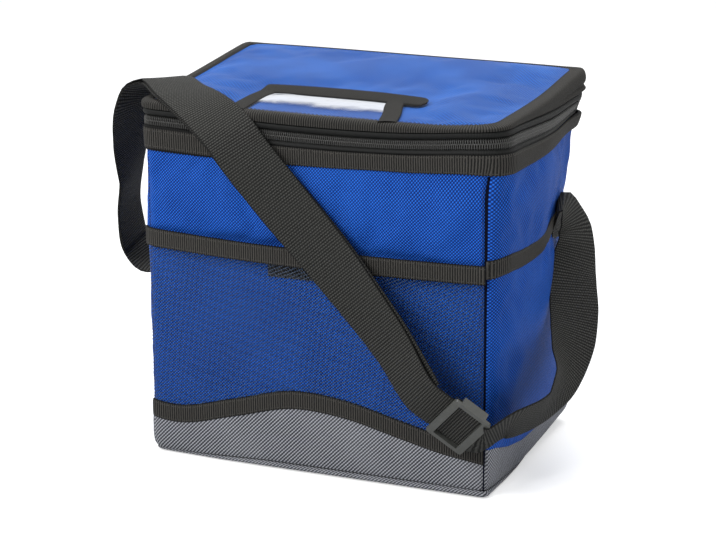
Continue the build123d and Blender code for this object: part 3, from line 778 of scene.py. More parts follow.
Z = wall_heights(s_wall)
Sg = np.repeat(s_wall[:, None], n_wall, axis=1)
crown = np.zeros(Z.shape)
rise_and_fall = np.clip(np.sin(math.pi * np.clip((Z - 30) / 205, 0, 1)), 0, 1) ** 0.7
for a, b, height in zip(SEAMS, SEAMS[1:], (1.6, 1.2, 2.6, 1.4)):
    t = np.clip((Sg - a) / (b - a), 0, 1)
    crown += height * np.where((Sg >= a) & (Sg <= b), np.sin(math.pi * t) ** 0.7, 0) * rise_and_fall
under_mesh = ((Sg < S_FR) & (Z < 172)).astype(float)
crown *= 1 - 0.8 * under_mesh
tucked = -1.2 * smoothstep(Z, 231, 235)
wall_rest = surf(Sg, Z, crown + seam_dent(Sg, Z) - 0.1 + tucked)
wall = piece("blue_walls", wall_rest, np.stack([Sg, Z], -1), blue, close=True)
print("walls:", len(wall.data.polygons), "faces, crown up to", round(float(crown.max()), 1), "mm")


# %% [markdown]
# A simulation needs to know what is held. Each point of the wall gets a weight:
# 1 on the seams, along the rim and the skirt, under the ribbons and behind the
# net, 0 on free cloth, and a soft change between the two, because a hard one
# leaves a crease.

# %% Where the walls are sewn down
def hold_weights():
    """1 where the cloth is sewn down, 0 where it is free."""
    w = np.zeros(Z.shape)
    for c in SEAMS:
        w = np.maximum(w, 1 - smoothstep(np.abs(Sg - c), 1.5, 5.5))
    w = np.maximum(w, smoothstep(Z, 226, 230))
    w = np.maximum(w, 1 - smoothstep(Z - skirt_z(Sg), 1, 7))
    front = Sg < S_FR
    mid = np.where(front, pocket_band_mid(np.clip(Sg, 0, S_FR)), side_band_mid(Sg))
    band = 1 - smoothstep(np.abs(Z - mid), 5, 9)
    band = np.where((Sg > S_RR) & (Sg < S_RL), 0, band)
    w = np.maximum(w, band)
    w = np.where(front & (Z < mid), 1.0, w)
    return np.clip(w, 0, 1)


wall_held = hold_weights()
print("free share of the walls:", round(float((wall_held < 0.5).mean()), 2))


# %% [markdown]
# Blender's Cloth blows the sheet out for 20 frames with a small pressure, no
# gravity, and a negative shrink that makes the cloth larger than its start. The
# moved points are then read off, capped, and written to the mesh, and the
# modifier goes, so the piece is a plain mesh again. It has no random part and
# gives the same folds each time.

# %% Cloth simulation
def blow(obj, weights, pressure, grow, cap, inward=0.6, bending=0.6, frames=20):
    """Simulate an open sheet held by its weights; the result is read off and capped, no Cloth is left."""
    group = obj.vertex_groups.new(name="held")
    flat = np.asarray(weights, float).ravel()[[p.value for p in obj.data.attributes["place"].data]]
    for i, value in enumerate(flat):
        if value > 0.001:
            group.add([i], float(value), "REPLACE")
    mod = obj.modifiers.new("Cloth", "CLOTH")
    cloth = mod.settings
    cloth.quality = 6
    cloth.mass = 0.12
    cloth.tension_stiffness = cloth.compression_stiffness = 18
    cloth.shear_stiffness = 6
    cloth.bending_stiffness = bending
    cloth.air_damping = 6
    cloth.vertex_group_mass = "held"
    cloth.pin_stiffness = 30
    cloth.shrink_min = grow
    cloth.use_pressure = True
    cloth.uniform_pressure_force = pressure
    cloth.effector_weights.gravity = 0
    mod.collision_settings.use_collision = False
    mod.collision_settings.use_self_collision = False
    mod.point_cache.frame_start, mod.point_cache.frame_end = 1, frames
    scene = bpy.context.scene
    for f in range(1, frames + 1):
        scene.frame_set(f)
    deps = bpy.context.evaluated_depsgraph_get()
    blown = np.array([v.co[:] for v in obj.evaluated_get(deps).data.vertices]) / MM
    scene.frame_set(1)
    obj.modifiers.remove(mod)
    obj.vertex_groups.remove(group)
    rest = np.array([v.co[:] for v in obj.data.vertices]) / MM
    move = blown - rest
    normals = np.array([v.normal[:] for v in obj.data.vertices])
    size = np.linalg.norm(move, axis=1)
    move *= (np.minimum(size, cap) / np.maximum(size, 1e-6))[:, None]
    across = (move * normals).sum(1)
    move += normals * (np.maximum(across, -inward) - across)[:, None]
    move *= (1 - flat)[:, None]
    for v, d in zip(obj.data.vertices, move):
        v.co += Vector(d) * MM
    furthest = float(np.linalg.norm(move, axis=1).max())
    print(obj.name, "moved up to", round(furthest, 2), "mm by the cloth simulation")


blow(wall, wall_held, pressure=1.6, grow=-0.016, cap=3.2)
subdivide(wall)
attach(wall, "bag")
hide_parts("front_panel", "right_panel", "left_panel", "rear_panel",
            "front_foam", "right_foam", "left_foam", "rear_foam")

# %% [markdown]
# The lower edge of the bag is a grey skirt, sewn to the blue under the wavy
# ribbon. It hangs from that seam and folds over the board, so it puffs a little
# half way down and rounds into the bottom seam. It is a second loft on the same
# surface, with its lines packed towards the bottom, where it curves most.

# %% Grey skirt
LIP_S = [0, 40, 95, 262, 285, 360, 451, 716, 902]
LIP_FULL = [0.2, 0.3, 0.9, 1.0, 0.5, 0.3, 0.3, 0.3, 0.2]
n_skirt = 16
s_skirt = stations_s(0.0, PER, 5.0)[:-1]
Ss = np.repeat(s_skirt[:, None], n_skirt, axis=1)
top = skirt_z(s_skirt) + 2.0
share = np.linspace(0, 1, n_skirt) ** 1.4
Zs = 0.6 + (top[:, None] - 0.6) * share[None, :]
lip_full = np.interp(Ss, LIP_S, LIP_FULL)
puff = 0.9 * np.sin(math.pi * share)[None, :] - 1.3 * lip_full * (1 - smoothstep(Zs, 3.0, 7.5))
skirt_rows = surf(Ss, Zs, puff + 0.35 + seam_dent(Ss, Zs))
skirt = piece("grey_skirt", skirt_rows, np.stack([Ss, Zs], -1), grey, close=True)
subdivide(skirt)
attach(skirt, "bag")
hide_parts("skirt_front", "skirt_right", "skirt_left", "skirt_rear", "base_board")
print("skirt:", len(skirt.data.polygons), "faces")


# %% [markdown]
# Underneath, one sheet of the same grey cloth closes the bag. A Grid Fill would
# do this in the editor. In a script, a Coons patch is as short: it fills four
# edge curves with a grid, and it is used again for the lid's top and lining.
# The sheet bows up a little, so the bag stands on its edges.

# %% Base sheet
def coons(sides, n, m):
    """Fill four edge curves (front, right, rear, left as arrays of points) with a grid n x m."""
    front, right, rear, left = sides
    u = np.linspace(0, 1, n)[:, None, None]
    v = np.linspace(0, 1, m)[None, :, None]
    f, b = front[:, None, :], rear[::-1][:, None, :]
    l, r = left[::-1][None, :, :], right[None, :, :]
    low_corners = (1 - u) * (1 - v) * front[0] + u * (1 - v) * front[-1]
    high_corners = u * v * right[-1] + (1 - u) * v * rear[-1]
    return (1 - v) * f + v * b + (1 - u) * l + u * r - low_corners - high_corners


def seam_to_seam(n, m):
    """Distances round the bag along its four sides, n on a long side and m on a short one."""
    counts = (n, m, n, m)
    return [np.linspace(a, b, k) for a, b, k in zip(SEAMS, SEAMS[1:], counts)]


n_base, m_base = 34, 24
base_rows = coons([surf(s, 0.6, -0.2) for s in seam_to_seam(n_base, m_base)], n_base, m_base)
bx, by = base_rows[..., 0], base_rows[..., 1]
bu, bv = across_grid(n_base, m_base)
edge_dist = np.minimum(np.minimum(bu, 1 - bu), np.minimum(bv, 1 - bv))
base_rows[..., 2] = 0.7 - 0.6 * smoothstep(edge_dist, 0, 0.04) + 0.35 * smoothstep(edge_dist, 0.1, 0.4)
base = piece("base_sheet", base_rows, np.stack([bx, by], -1), grey, flip=True)
subdivide(base)
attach(base, "bag")
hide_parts("base_panel")
print("base sheet:", len(base.data.polygons), "faces")


# %% [markdown]
# Where the skirt meets the base, the seam's turned edges stand out as a lip,
# full under the front right and nearly flat elsewhere, with a thin dark strip
# in the groove above it: painted shade. The lip is a section swept round the
# bag. A curve with a bevel could do that, but its section can't change on the
# way, so `sweep` lays the section on the surface at each station and joins
# them. All ribbons and tapes use it too.

# %% Lip and painted shade strip under the skirt
def sweep(name, s_values, profile, material, body, close=False, flip=False):
    """A trim that follows the bag: profile(s) gives rows of (out, z) from its lower to its upper edge."""
    rows, uvs = [], []
    for s in s_values:
        p = np.asarray(profile(s), float)
        pts = surf(np.full(len(p), s), p[:, 1], p[:, 0])
        run = np.concatenate([[0], np.cumsum(np.hypot(np.diff(p[:, 0]), np.diff(p[:, 1])))])
        rows.append(pts)
        uvs.append(np.stack([np.full(len(p), s), run - run[-1] / 2], -1))
    obj = piece(name, np.array(rows), np.array(uvs), material, close=close, flip=flip)
    if body:
        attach(obj, body)
    return obj


LIP_SECTION = [(-1.6, 0.2), (0.4, 0.12), (1.7, 0.16), (2.7, 0.36),
               (2.9, 0.62), (1.9, 0.86), (0.3, 0.98), (-1.6, 1.0)]


def lip(s):
    """The folded edge under the bottom seam, full at the front right and fading at the front left."""
    full = float(np.interp(s, LIP_S, LIP_FULL))
    height = 1.6 + 3.4 * full
    return [(out * (0.35 + 0.75 * full), 0.1 + height * part) for out, part in LIP_SECTION]


def groove_shade_line(s):
    """Dark strip in the groove above the lip: painted shade."""
    top = 1.7 + 3.4 * float(np.interp(s, LIP_S, LIP_FULL))
    return [(-1.4, top - 0.3), (0.1, top), (0.1, top + 0.5), (-1.4, top + 0.9)]


# painted shade: a thin near-black strip laid in the groove above the lip
base_groove_shade = sweep("base_groove_shade", stations_s(20.0, 300.0, 5.0), groove_shade_line, tape, "bag")
piping = sweep("base_lip", s_skirt, lip, grey, "bag", close=True)
subdivide(piping)
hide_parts("base_piping")
print("lip:", len(piping.data.polygons), "faces")

# %% [markdown]
# ## Ribbon trims
# Black ribbon covers every edge: round the rim, along the wave, across the
# sides and over the pocket's mouth. A flat strip on the wall would flicker and
# look printed. A sewn ribbon is held at both edges and cushioned between them,
# so its section starts on the cloth, stands about a millimetre proud and comes
# down again.

# %% Rim ribbon and wavy ribbon
RIBBON_T = np.array([-1, -0.96, -0.8, -0.4, 0, 0.4, 0.8, 0.96, 1])
RIBBON_OUT = np.array([0, 0.75, 1, 1.05, 1.05, 1.05, 1, 0.75, 0])


def ribbon_profile(mid, half, proud, base_out, lean=0.0):
    """Cushioned section of a flat ribbon whose middle is at height `mid`; lean tips its upper edge out."""
    out = base_out + proud * RIBBON_OUT + lean * (RIBBON_T + 1) / 2
    return np.stack([out, mid + half * RIBBON_T], -1)


s_all = stations_s(0.0, PER, 4.0)[:-1]


def rim_profile(s):
    """The rim ribbon sags a little, widens at the front left and stands out at the rear right."""
    sag = 0.2 * math.sin(s / 37.0) + 0.12 * math.sin(s / 9.0)
    wide = 1.8 * float((1 - smoothstep(s, 20, 120)) if s < 400 else smoothstep(s, 893, 901))
    rear = 1.6 * float(bump(s, 446, 26))
    return ribbon_profile(235.4 + sag + wide, 6.5 + wide, 1.4 + rear, 0.2, lean=0.7 + 0.5 * rear)


rim_band = subdivide(sweep("rim_ribbon", s_all, rim_profile, ribbon, "bag", close=True))
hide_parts("rim_band")

def wave_profile(s):
    return ribbon_profile(float(wave_z(s)), 7.0, 1.5, 0.4)


wave_band = subdivide(sweep("wave_ribbon", stations_s(1.5, S_FR - 0.1, 4.0), wave_profile, ribbon, "bag"))
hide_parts("wave_band")
print("rim and wave ribbons:", len(rim_band.data.polygons) + len(wave_band.data.polygons), "faces")


# %% [markdown]
# The ribbon of the pocket's mouth goes on round both sides. On the right the
# strap is sewn to it and drags it up and out into a small tent, so its middle
# line rises there and its upper edge leaves the wall.

# %% Side ribbons
def right_pull(s):
    """The strap drags the ribbon out to a small tent near its anchor."""
    return 5.0 * float(bump(s, 396, 16))


def side_profile(s):
    """A ribbon whose upper edge is pulled out most."""
    p = ribbon_profile(float(side_band_mid(s)), 6.8, 1.2, 0.2)
    pull = right_pull(s) if s < S_RR else 0.0
    p[:, 0] += pull * np.linspace(0.25, 1.0, len(p))
    return p


s_right = stations_s(S_FR + 0.2, S_RR - 1.0, 4.0)
s_left = stations_s(S_RL + 1.0, PER - 1.0, 4.0)
side_right = subdivide(sweep("side_ribbon_right", s_right, side_profile, ribbon, "bag"))
side_left = subdivide(sweep("side_ribbon_left", s_left, side_profile, ribbon, "bag"))
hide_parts("side_band_right")
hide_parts("side_band_left")
print("side ribbons:", len(side_right.data.polygons) + len(side_left.data.polygons), "faces")

# %% [markdown]
# The net is sewn into the wave, the two front seams and the mouth's ribbon, and
# it gapes from the wall towards the mouth. Near the right seam it was sewn with
# too much length and gathers in slanting folds. A simulation would settle
# somewhere else each time a size changes, so the gape and the folds are drawn:
# one sine wave along a slanting line, fading out at the edges where the net is
# held.

# %% Net of the front pocket
POCKET_LOW = 3.0


def net_gape(s, z):
    """How far the net stands off the blue wall."""
    t = np.clip((np.asarray(z, float) - 62) / 95.0, 0, 1)
    side = np.sin(math.pi * np.clip(np.asarray(s, float) / S_FR, 0, 1)) ** 0.8
    return 0.4 + 0.8 * side ** 0.3 + 8.0 * t ** 1.1 * side


n_net = 30
s_net = stations_s(0.8, S_FR - 0.4, 3.2)
Sn = np.repeat(s_net[:, None], n_net, axis=1)
low_net = wave_z(s_net) - POCKET_LOW
high_net = pocket_band_mid(s_net) - 1.0
Zn = low_net[:, None] + (high_net - low_net)[:, None] * np.linspace(0, 1, n_net)[None, :]
gathered = bump(Sn, S_FR, 55.0) * smoothstep(Zn, 45, 80) * (1 - smoothstep(Zn, 140, 158))
folds = 1.1 * rippled(Sn, Zn, 0, 34, 1.7) + 1.5 * gathered * np.sin((0.62 * Sn + Zn) / 8.5)
edge = smoothstep(np.minimum(Sn, S_FR - Sn), 0, 14) * smoothstep(Zn - low_net[:, None], 0, 18)
off = net_gape(Sn, Zn) + folds * edge
net_uv = np.stack([Sn + 0.10 * (Zn - 100) * (Sn / S_FR), Zn], -1)
pocket = piece("pocket_net", surf(Sn, Zn, off), net_uv, net)
subdivide(pocket)
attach(pocket, "bag")
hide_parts("pocket_mesh")
print("net stands", round(float(off.max()), 1), "mm off the wall at most")


# %% [markdown]
# A ribbon binds the pocket's mouth and stands off the wall with it. Behind the
# net, a small napped patch is sewn to the wall to hold the pocket shut. The
# patch is a grid on the same surface, with its edge rounded by a soft step.

# %% Ribbon of the pocket's mouth and the patch behind the net
def pocket_band_profile(s):
    """The ribbon stands off the wall as far as the net does, and comes back at both seams."""
    mid = float(pocket_band_mid(s))
    p = ribbon_profile(mid, 7.0, 1.3, 0.0)
    gape = float(net_gape(s, mid))
    p[:, 0] += gape + 0.2
    ends = float(smoothstep(min(s, S_FR - s), 0, 10))
    p[:, 0] = p[:, 0] * ends + (1 - ends) * (p[:, 0] - gape + 1.4)
    return p


pocket_ribbon = sweep("pocket_ribbon", stations_s(0.6, S_FR + 0.1, 4.0), pocket_band_profile, ribbon, "bag")
subdivide(pocket_ribbon)
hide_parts("pocket_band")

patch_s = np.linspace(HW - 33, HW + 2, 15)
patch_z = np.linspace(145.5, 159, 8)
Sp, Zp = np.meshgrid(patch_s, patch_z, indexing="ij")
from_side = np.minimum(Sp - patch_s[0], patch_s[-1] - Sp)
from_edge = np.minimum(from_side, np.minimum(Zp - patch_z[0], patch_z[-1] - Zp))
nap = woven("napped_patch", (0.040, 0.040, 0.040), (0.002, 0.002, 0.002), 2.2, 0.6, rough=0.9, sheen=0.3)
patch_rows = surf(Sp, Zp, 1.1 + smoothstep(from_edge, 0, 1.6))
patch = piece("nap_patch", patch_rows, np.stack([Sp, Zp], -1), nap)
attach(subdivide(patch), "bag")
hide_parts("pocket_patch")
print("patch:", round(float(np.ptp(patch_s))), "x", round(float(np.ptp(patch_z)), 1), "mm")

# %% [markdown]
# Stitches are the smallest pieces, and there are some hundreds of them. Each is
# a short five-sided thread, thin at both ends where it dives into the cloth.
# They are set along a path at an even pitch and made by the helper that cuts
# tubes from one grid, so a whole seam is one object.

# %% Stitches
STITCH_SIDES = 5
STITCH_SHAPE = ((0.0, 0.45), (0.2, 1.0), (0.8, 1.0), (1.0, 0.45))


def stitch_rings(a, b, r):
    """The rings of one stitch from a to b, in mm: thin at both ends."""
    a, b = Vector(a), Vector(b)
    run = (b - a).normalized()
    across = run.cross(Vector((0.3, 0.5, 0.8))).normalized()
    up = run.cross(across)
    turns = [2 * math.pi * i / STITCH_SIDES for i in range(STITCH_SIDES)]
    return [[a.lerp(b, t) + (across * math.cos(q) + up * math.sin(q)) * r * k for q in turns]
            for t, k in STITCH_SHAPE]


def stitches(name, path, body, pitch=3.0, length=2.1, r=0.28, material=thread_black):
    """Evenly spaced stitches along a list of points."""
    path = np.asarray(path, float)
    run = np.concatenate([[0], np.cumsum(np.linalg.norm(np.diff(path, axis=0), axis=1))])
    starts = np.arange(int(run[-1] // pitch)) * pitch + 0.3
    first, last = ([[np.interp(d, run, path[:, i]) for i in range(3)] for d in at]
                   for at in (starts, starts + length))
    rings = [stitch_rings(a, b, r) for a, b in zip(first, last)]
    obj = tubes(name, np.array(rings), material)
    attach(obj, body)
    return obj


blue_thread = moulded("blue_thread", (0.006, 0.020, 0.12))
seam_places = {"front_right": S_FR - 2.4, "front_left": 0.0, "rear_right": S_RR, "rear_left": S_RL}
for side, s in seam_places.items():
    seam_path = surf(s, np.arange(40.0, 226.0, 2.0), -0.7)
    stitches("seam_stitch_" + side, seam_path, "bag", material=blue_thread, r=0.35)
print("stitched", len(seam_places), "seams")

# %% [markdown]
# The front-right seam is pulled so tight that its groove shows as a dark line
# from the skirt to the rim. That shade is painted: a narrow strip set into the
# groove, nearly black and without gloss.

# %% Painted shadow in the front-right seam
# painted shadow: a near-black strip laid in the groove of the front-right seam
seam_dark = moulded("seam_shadow", (0.002, 0.003, 0.012), rough=0.8, wear=0.1, spec=0.08)
strip_s, strip_z = np.meshgrid(S_FR + np.array([-0.6, -0.3, 0, 0.3, 0.6]), np.arange(3.0, 231.0, 3.0))
on_skirt = 1 - smoothstep(strip_z, skirt_z(S_FR) - 1.0, skirt_z(S_FR) + 2.0)
strip_out = np.array([-1.9, -1.2, -0.9, -1.2, -1.9]) + 1.2 * on_skirt
strip_uv = np.stack([strip_z, strip_s], -1)
seam_shadow_strip = piece("seam_painted_shadow", surf(strip_s, strip_z, strip_out), strip_uv, seam_dark, flip=True)
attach(seam_shadow_strip, "bag")
print("dark line:", float(np.ptp(strip_z)), "mm long")

# %% [markdown]
# ## The zipper
# A coil zipper is two cloth tapes with a row of bent nylon teeth on each. It
# runs along the left side, round the front and along the right side. Each tape
# is a swept section: it comes out from under the ribbon, bends, and ends at the
# teeth. The upper tape belongs to the lid and the lower one to the bag.

# %% Zipper tapes
ZIP_STOP = 77.0                           # depth at which the zipper ends on both sides
S_ZIP_A = -(ZIP_STOP + HD)
S_ZIP_B = S_FR + ZIP_STOP + HD
NEAR_FRONT_LEFT = [-9.0, -5.0, -2.0, 0.0]
s_zip = np.array(sorted({*stations_s(S_ZIP_A, S_ZIP_B, 3.5), *NEAR_FRONT_LEFT}))
UPPER_TAPE = [(-0.25, 248.9), (-0.2, 251.2), (-0.6, 252.3), (0.8, 252.9),
              (1.9, 254.1), (2.1, 255.6), (1.4, 257.0), (-0.2, 257.9)]
LOWER_TAPE = [(-0.6, 240.4), (0.3, 241.3), (1.1, 242.2), (1.1, 243.3),
              (0.2, 244.4), (-0.5, 245.0), (-0.25, 248.1)]

tape_upper = subdivide(sweep("tape_upper", s_zip, lambda s: UPPER_TAPE, tape, "lid"))
tape_lower = subdivide(sweep("tape_lower", s_zip, lambda s: LOWER_TAPE, tape, "bag"))
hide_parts("zipper_tape_upper")
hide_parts("zipper_tape_lower")
for o in (tape_upper, tape_lower):
    thicken(o, 0.5)
print("zipper:", S_ZIP_B - S_ZIP_A, "mm long")

# %% [markdown]
# A coil zipper's teeth are one nylon thread bent into loops. Seen from outside,
# each loop is a short bar with a thick head, and the heads of the two rows
# mesh. An array modifier can't follow the lifted corner, so every tooth is laid
# on the bag's surface. There are about 800 of them, and each has only 26 faces.
# The upper row is half a pitch further on and rides on the lid, so the rows
# part when the lid opens.

# %% Coil teeth
PITCH = 1.5
TOOTH_SECTION = np.array([(-0.30, 0.0), (-0.12, 0.52), (0.28, 0.52),
                          (0.40, 0.0), (0.20, -0.45), (-0.20, -0.45)])
TOOTH_SPINE = np.array([(3.35, 0.10), (2.6, 0.72), (1.2, 0.92), (0.1, 0.85), (-0.42, 0.45)])
TOOTH_HEAD = 1.15                         # the head is this much thicker than the legs
TOOTH_WIDE = 1.15
TOOTH_FLAT = 0.62
TOOTH_LEAN = 0.135


def coil_row(name, sign, body):
    """Teeth of one row, upward (1) or downward (-1): each ends just past the centre line."""
    half_step = PITCH / 2 if sign > 0 else 0.0
    centres = np.arange(S_ZIP_A + 2 + half_step, S_ZIP_B - 2, PITCH)
    h, out = TOOTH_SPINE[:, :1], TOOTH_SPINE[:, 1:]
    swollen = np.where(h > 0, 1.0, TOOTH_HEAD)
    along = TOOTH_SECTION[:, 0] * TOOTH_WIDE * swollen + TOOTH_LEAN * (1 - h / 3.3)
    proud = out + TOOTH_SECTION[:, 1] * swollen * TOOTH_FLAT
    rings = surf(centres[:, None, None] + along, ZIP_Z + sign * h, proud)
    obj = tubes(name, rings, coil_black)
    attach(obj, body)
    print(name, len(centres), "teeth,", len(obj.data.polygons), "faces")
    return obj


coil_up = coil_row("coil_upper", 1, "lid")
coil_low = coil_row("coil_lower", -1, "bag")
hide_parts("zipper_coil_upper")
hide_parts("zipper_coil_lower")

# %% [markdown]
# A row of sewing covers the legs of the teeth on each tape. It is one more
# swept section, low and rounded.

# %% Thread rows that hold the teeth
def thread_row(sign):
    """Section of the thread over the legs of the teeth."""
    z = ZIP_Z + sign * 2.6
    return [(0.45, z - 0.5), (1.0, z - 0.2), (1.0, z + 0.2), (0.45, z + 0.5)]


for sign, body in ((1, "lid"), (-1, "bag")):
    row = sweep("coil_stitch_" + body, s_zip, lambda s, k=sign: thread_row(k), tape, body)
print("two thread rows on", len(s_zip), "stations")

# %% [markdown]
# Across the rear there is no zipper: a strip of tape joins the bag and the lid.

# %% Fabric hinge across the rear
HINGE = [(0.0, 241.0), (0.5, 243.0), (0.35, 245.0), (0.25, 247.0), (0.2, 248.5),
         (0.25, 250.0), (0.6, 252.0), (1.2, 254.5), (1.0, 257.0), (0.2, 258.4)]
s_hinge = stations_s(S_ZIP_B, PER + S_ZIP_A, 4.0)
hinge = subdivide(sweep("hinge_cloth", s_hinge, lambda s: HINGE, tape, None))
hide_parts("hinge_strip_lower", "hinge_strip_upper")
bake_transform(hinge)
print("hinge cloth:", len(hinge.data.polygons), "faces")

# %% [markdown]
# ## The lid
# The lid is blue cloth over foam, crowned and a little slack. Its seam with the
# black binding is a rounded shape that is wider at the right than at the rear.
# That seam line is made first, as it is the edge of the cloth and of the
# ribbon: a step inwards from the bag's outline, averaged over a short stretch
# so that its corners are round.

# %% Seam between the lid's cloth and its binding
INSET_S = [0, 200, 250, 285, 340, 451, 470, 500, 695, 716, 902]
INSET = [6.4, 6.4, 7.0, 8.0, 8.5, 8.5, 5.5, 4.5, 4.5, 6.0, 6.4]


def lid_inset(s):
    """Width of the binding on top of the lid."""
    return np.interp(np.mod(s, PER), INSET_S, INSET)


def lid_line(s, more=0.0):
    """Seam between the blue top and its binding, with round corners; `more` mm further out."""
    s = np.asarray(s, float)
    near = bump(s, S_FR, 45.0)
    point = 0.0
    for k in np.linspace(-1, 1, 9):
        q = s + k * (8.0 + 8.0 * near)
        point = point + surf(q, 262.0, more - lid_inset(q)) / 9
    top = lid_top(point[..., 1])
    point[..., 2] = top + lift(s, top, top)
    return point


print("binding is", min(INSET), "to", max(INSET), "mm wide on top")

# %% [markdown]
# Between the seams the cloth lies over foam. It is highest behind the middle,
# has a few slow lumps, a dip at the rear left and a ridge near the right edge
# where the lifted corner pushes it up. The start shape has all of these, and
# the simulation adds the small puckers. Under the document pocket the cloth is
# sewn down, so it is held there.

# %% Blue top of the lid
n_top, m_top = 58, 42
top_rows = coons([lid_line(s, 1.5) for s in seam_to_seam(n_top, m_top)], n_top, m_top)
tx, ty = top_rows[..., 0], top_rows[..., 1]
gu, gv = across_grid(n_top, m_top)
border = np.minimum(np.minimum(gu, 1 - gu) * 2 * HW, np.minimum(gv, 1 - gv) * 2 * HD)
towards_rear = 0.25 + 0.75 * smoothstep(gv, 0.05, 0.55)
dome = (1 - np.abs(2 * gu - 1) ** 3.5) * (1 - np.abs(2 * gv - 1) ** 3.0) * towards_rear
lumps = 1.6 * rippled(tx, ty, 0, 62, 0.7) + 0.6 * rippled(tx, ty, 5, 27, 2.1)
dip = 1.6 * bump(tx, -60, 45) * bump(ty, 40, 30) + 1.2 * bump(tx, 20, 60) * bump(ty, 5, 20)
ridge = 1.6 * bump(tx, 96, 15) * bump(ty, -30, 40)
under_film = bump(tx, 0, 66) ** 0.5 * (1 - smoothstep(ty, -45, -20))
lumps *= 1 - 0.75 * np.clip(under_film, 0, 1)
top_z = top_rows[..., 2] - 0.9 + (2.6 * dome + lumps - dip + ridge) * smoothstep(border, 0, 16)
lid_blue = piece("lid_blue_top", np.stack([tx, ty, top_z], -1), np.stack([tx, ty], -1), blue_top)
under_pocket = (np.abs(tx) < 70) & (ty < -22)
top_held = np.where(under_pocket, 1.0, 1 - smoothstep(border, 3, 12))
blow(lid_blue, top_held, pressure=0.8, grow=-0.012, cap=2.6, inward=1.0, bending=0.8)
subdivide(lid_blue)
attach(lid_blue, "lid")
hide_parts("lid_top_panel", "lid_foam")
print("lid top crowned by", round(float((2.6 * dome).max()), 1), "mm")


# %% [markdown]
# A ribbon binds the lid: it comes up from the zipper, rolls over the edge and
# is sewn to the blue. It leans and flops a little along its run and has a
# crease at the rear right. Each station gives one section from the tape to the
# seam, and the rows join into a band. At the rear it is drawn in, so that it
# clears the bag when the lid turns over.

# %% Binding round the lid
def binding_rows(s):
    """Section of the binding from the tape, up the lid's edge and over to its seam on the blue."""
    rear = float(smoothstep(s, 448, 464) * (1 - smoothstep(s, 703, 719)))
    edge = surf(s, 262.0, 0.8 - 2.2 * rear)
    seam = lid_line(s)
    t = float(lid_top(edge[1]))
    flop = 0.5 * math.sin(s / 31.0) + 0.35 * math.sin(s / 13.0)
    rise = float(lift(s, t, t))
    pts = []
    middle = (259.2 + t - 3.4) / 2 - 1.5
    crease = 2.0 * float(bump(s, 432, 42)) * (1 - rear)
    up_the_edge = [(-0.2, 257.2), (1.3, 257.8 + 0.2 * flop), (2.3 + 0.6 * crease, 259.2),
                   (2.4 + 0.6 * crease, middle - 1.6), (2.4 - 1.1 * crease, middle),
                   (2.4 + 0.5 * crease, middle + 1.8), (2.5 + 0.3 * crease, t - 3.4),
                   (2.0, t - 1.3), (0.8, t)]
    for out, z in up_the_edge:
        q = surf(s, min(z, 262.0), min(out, out * (1 - rear) - 0.9 * rear))
        q[2] = z + float(lift(s, z, t))
        pts.append(q)
    for share, up in ((0.28, 0.5), (0.65, 0.6 + 0.2 * flop), (1.0, 0.35), (1.08, -0.9)):
        q = edge + (seam - edge) * share
        q[2] = t + (seam[2] - rise - t) * share + rise + up - 2.2 * rear
        pts.append(q)
    return np.array(pts)


s_bind = stations_s(0.0, PER, 3.6)[:-1]
rows = np.array([binding_rows(float(s)) for s in s_bind])
run = np.linalg.norm(np.diff(rows, axis=1), axis=2)
v_run = np.concatenate([np.zeros((len(rows), 1)), np.cumsum(run, axis=1)], axis=1)
bind_uv = np.stack([np.repeat(s_bind[:, None], rows.shape[1], 1), v_run], -1)
binding = piece("lid_binding_ribbon", rows, bind_uv, ribbon_lid_shaded, close=True)
subdivide(binding)
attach(binding, "lid")
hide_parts("lid_binding")
stitch_line = lid_line(stations_s(S_RL + 14.0, PER + S_RR - 12.0, 4.0), 0.8) + np.array([0, 0, 0.62])
stitches("lid_binding_stitch", stitch_line, "lid", pitch=3.2, length=2.2, r=0.2)
print("binding:", len(binding.data.polygons), "faces")

# %% [markdown]
# The lid's underside shows when it is open: a white film over the foam, welded
# all round 14 mm from its edge, with a black hem that hides the seam with the
# tape. The weld is a narrow ridge and the foam behind it sags a little.

# %% Lid lining
n_under, m_under = 44, 32
under = coons([surf(s, 256.4, -1.2) for s in seam_to_seam(n_under, m_under)], n_under, m_under)
ux, uy = under[..., 0], under[..., 1]
hu, hv = across_grid(n_under, m_under)
inwards = np.minimum(np.minimum(hu, 1 - hu) * 2 * HW, np.minimum(hv, 1 - hv) * 2 * HD)
quilt = 0.7 * rippled(ux, uy, 9, 40, 4.2)
under[..., 2] += -0.2 - (0.9 + quilt) * smoothstep(inwards, 0, 12) + 0.7 * bump(inwards, 14, 2.2)
lid_under = piece("lid_lining", under, np.stack([ux, uy], -1), lining, flip=True)
subdivide(lid_under)
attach(lid_under, "lid")
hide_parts("lid_liner")
HEM = [(-0.7, 253.6), (-2.2, 254.0), (-3.0, 255.0), (-5.6, 255.4), (-6.6, 256.3)]
s_hem = stations_s(0.0, PER, 4.5)[:-1]
lid_hem = subdivide(sweep("lid_hem", s_hem, lambda s: HEM, tape, "lid", close=True, flip=True))
print("lid lining:", len(lid_under.data.polygons), "faces")

# %% [markdown]
# A clear pocket for papers is sewn to the front of the lid: film under a left,
# a right and a rear ribbon, open at the front edge. The side ribbons aren't
# quite straight, so each has a line of given points in x and y, and one
# function gives the height over which all of it lies.

# %% Where the document pocket lies
LEFT_LINE = [(-57.5, -92), (-58, -78), (-57, -62), (-53.5, -44), (-51, -34)]
RIGHT_LINE = [(59, -92.5), (57.5, -86), (53.5, -70), (48, -54), (44.5, -38)]
REAR_Y, REAR_HALF = -39.6, 8.3
ACROSS_RIBBON = np.array([-1, -0.94, -0.7, -0.3, 0, 0.3, 0.7, 0.94, 1])
CUSHION = np.array([0, 0.7, 1, 1.05, 1.05, 1.05, 1, 0.7, 0])


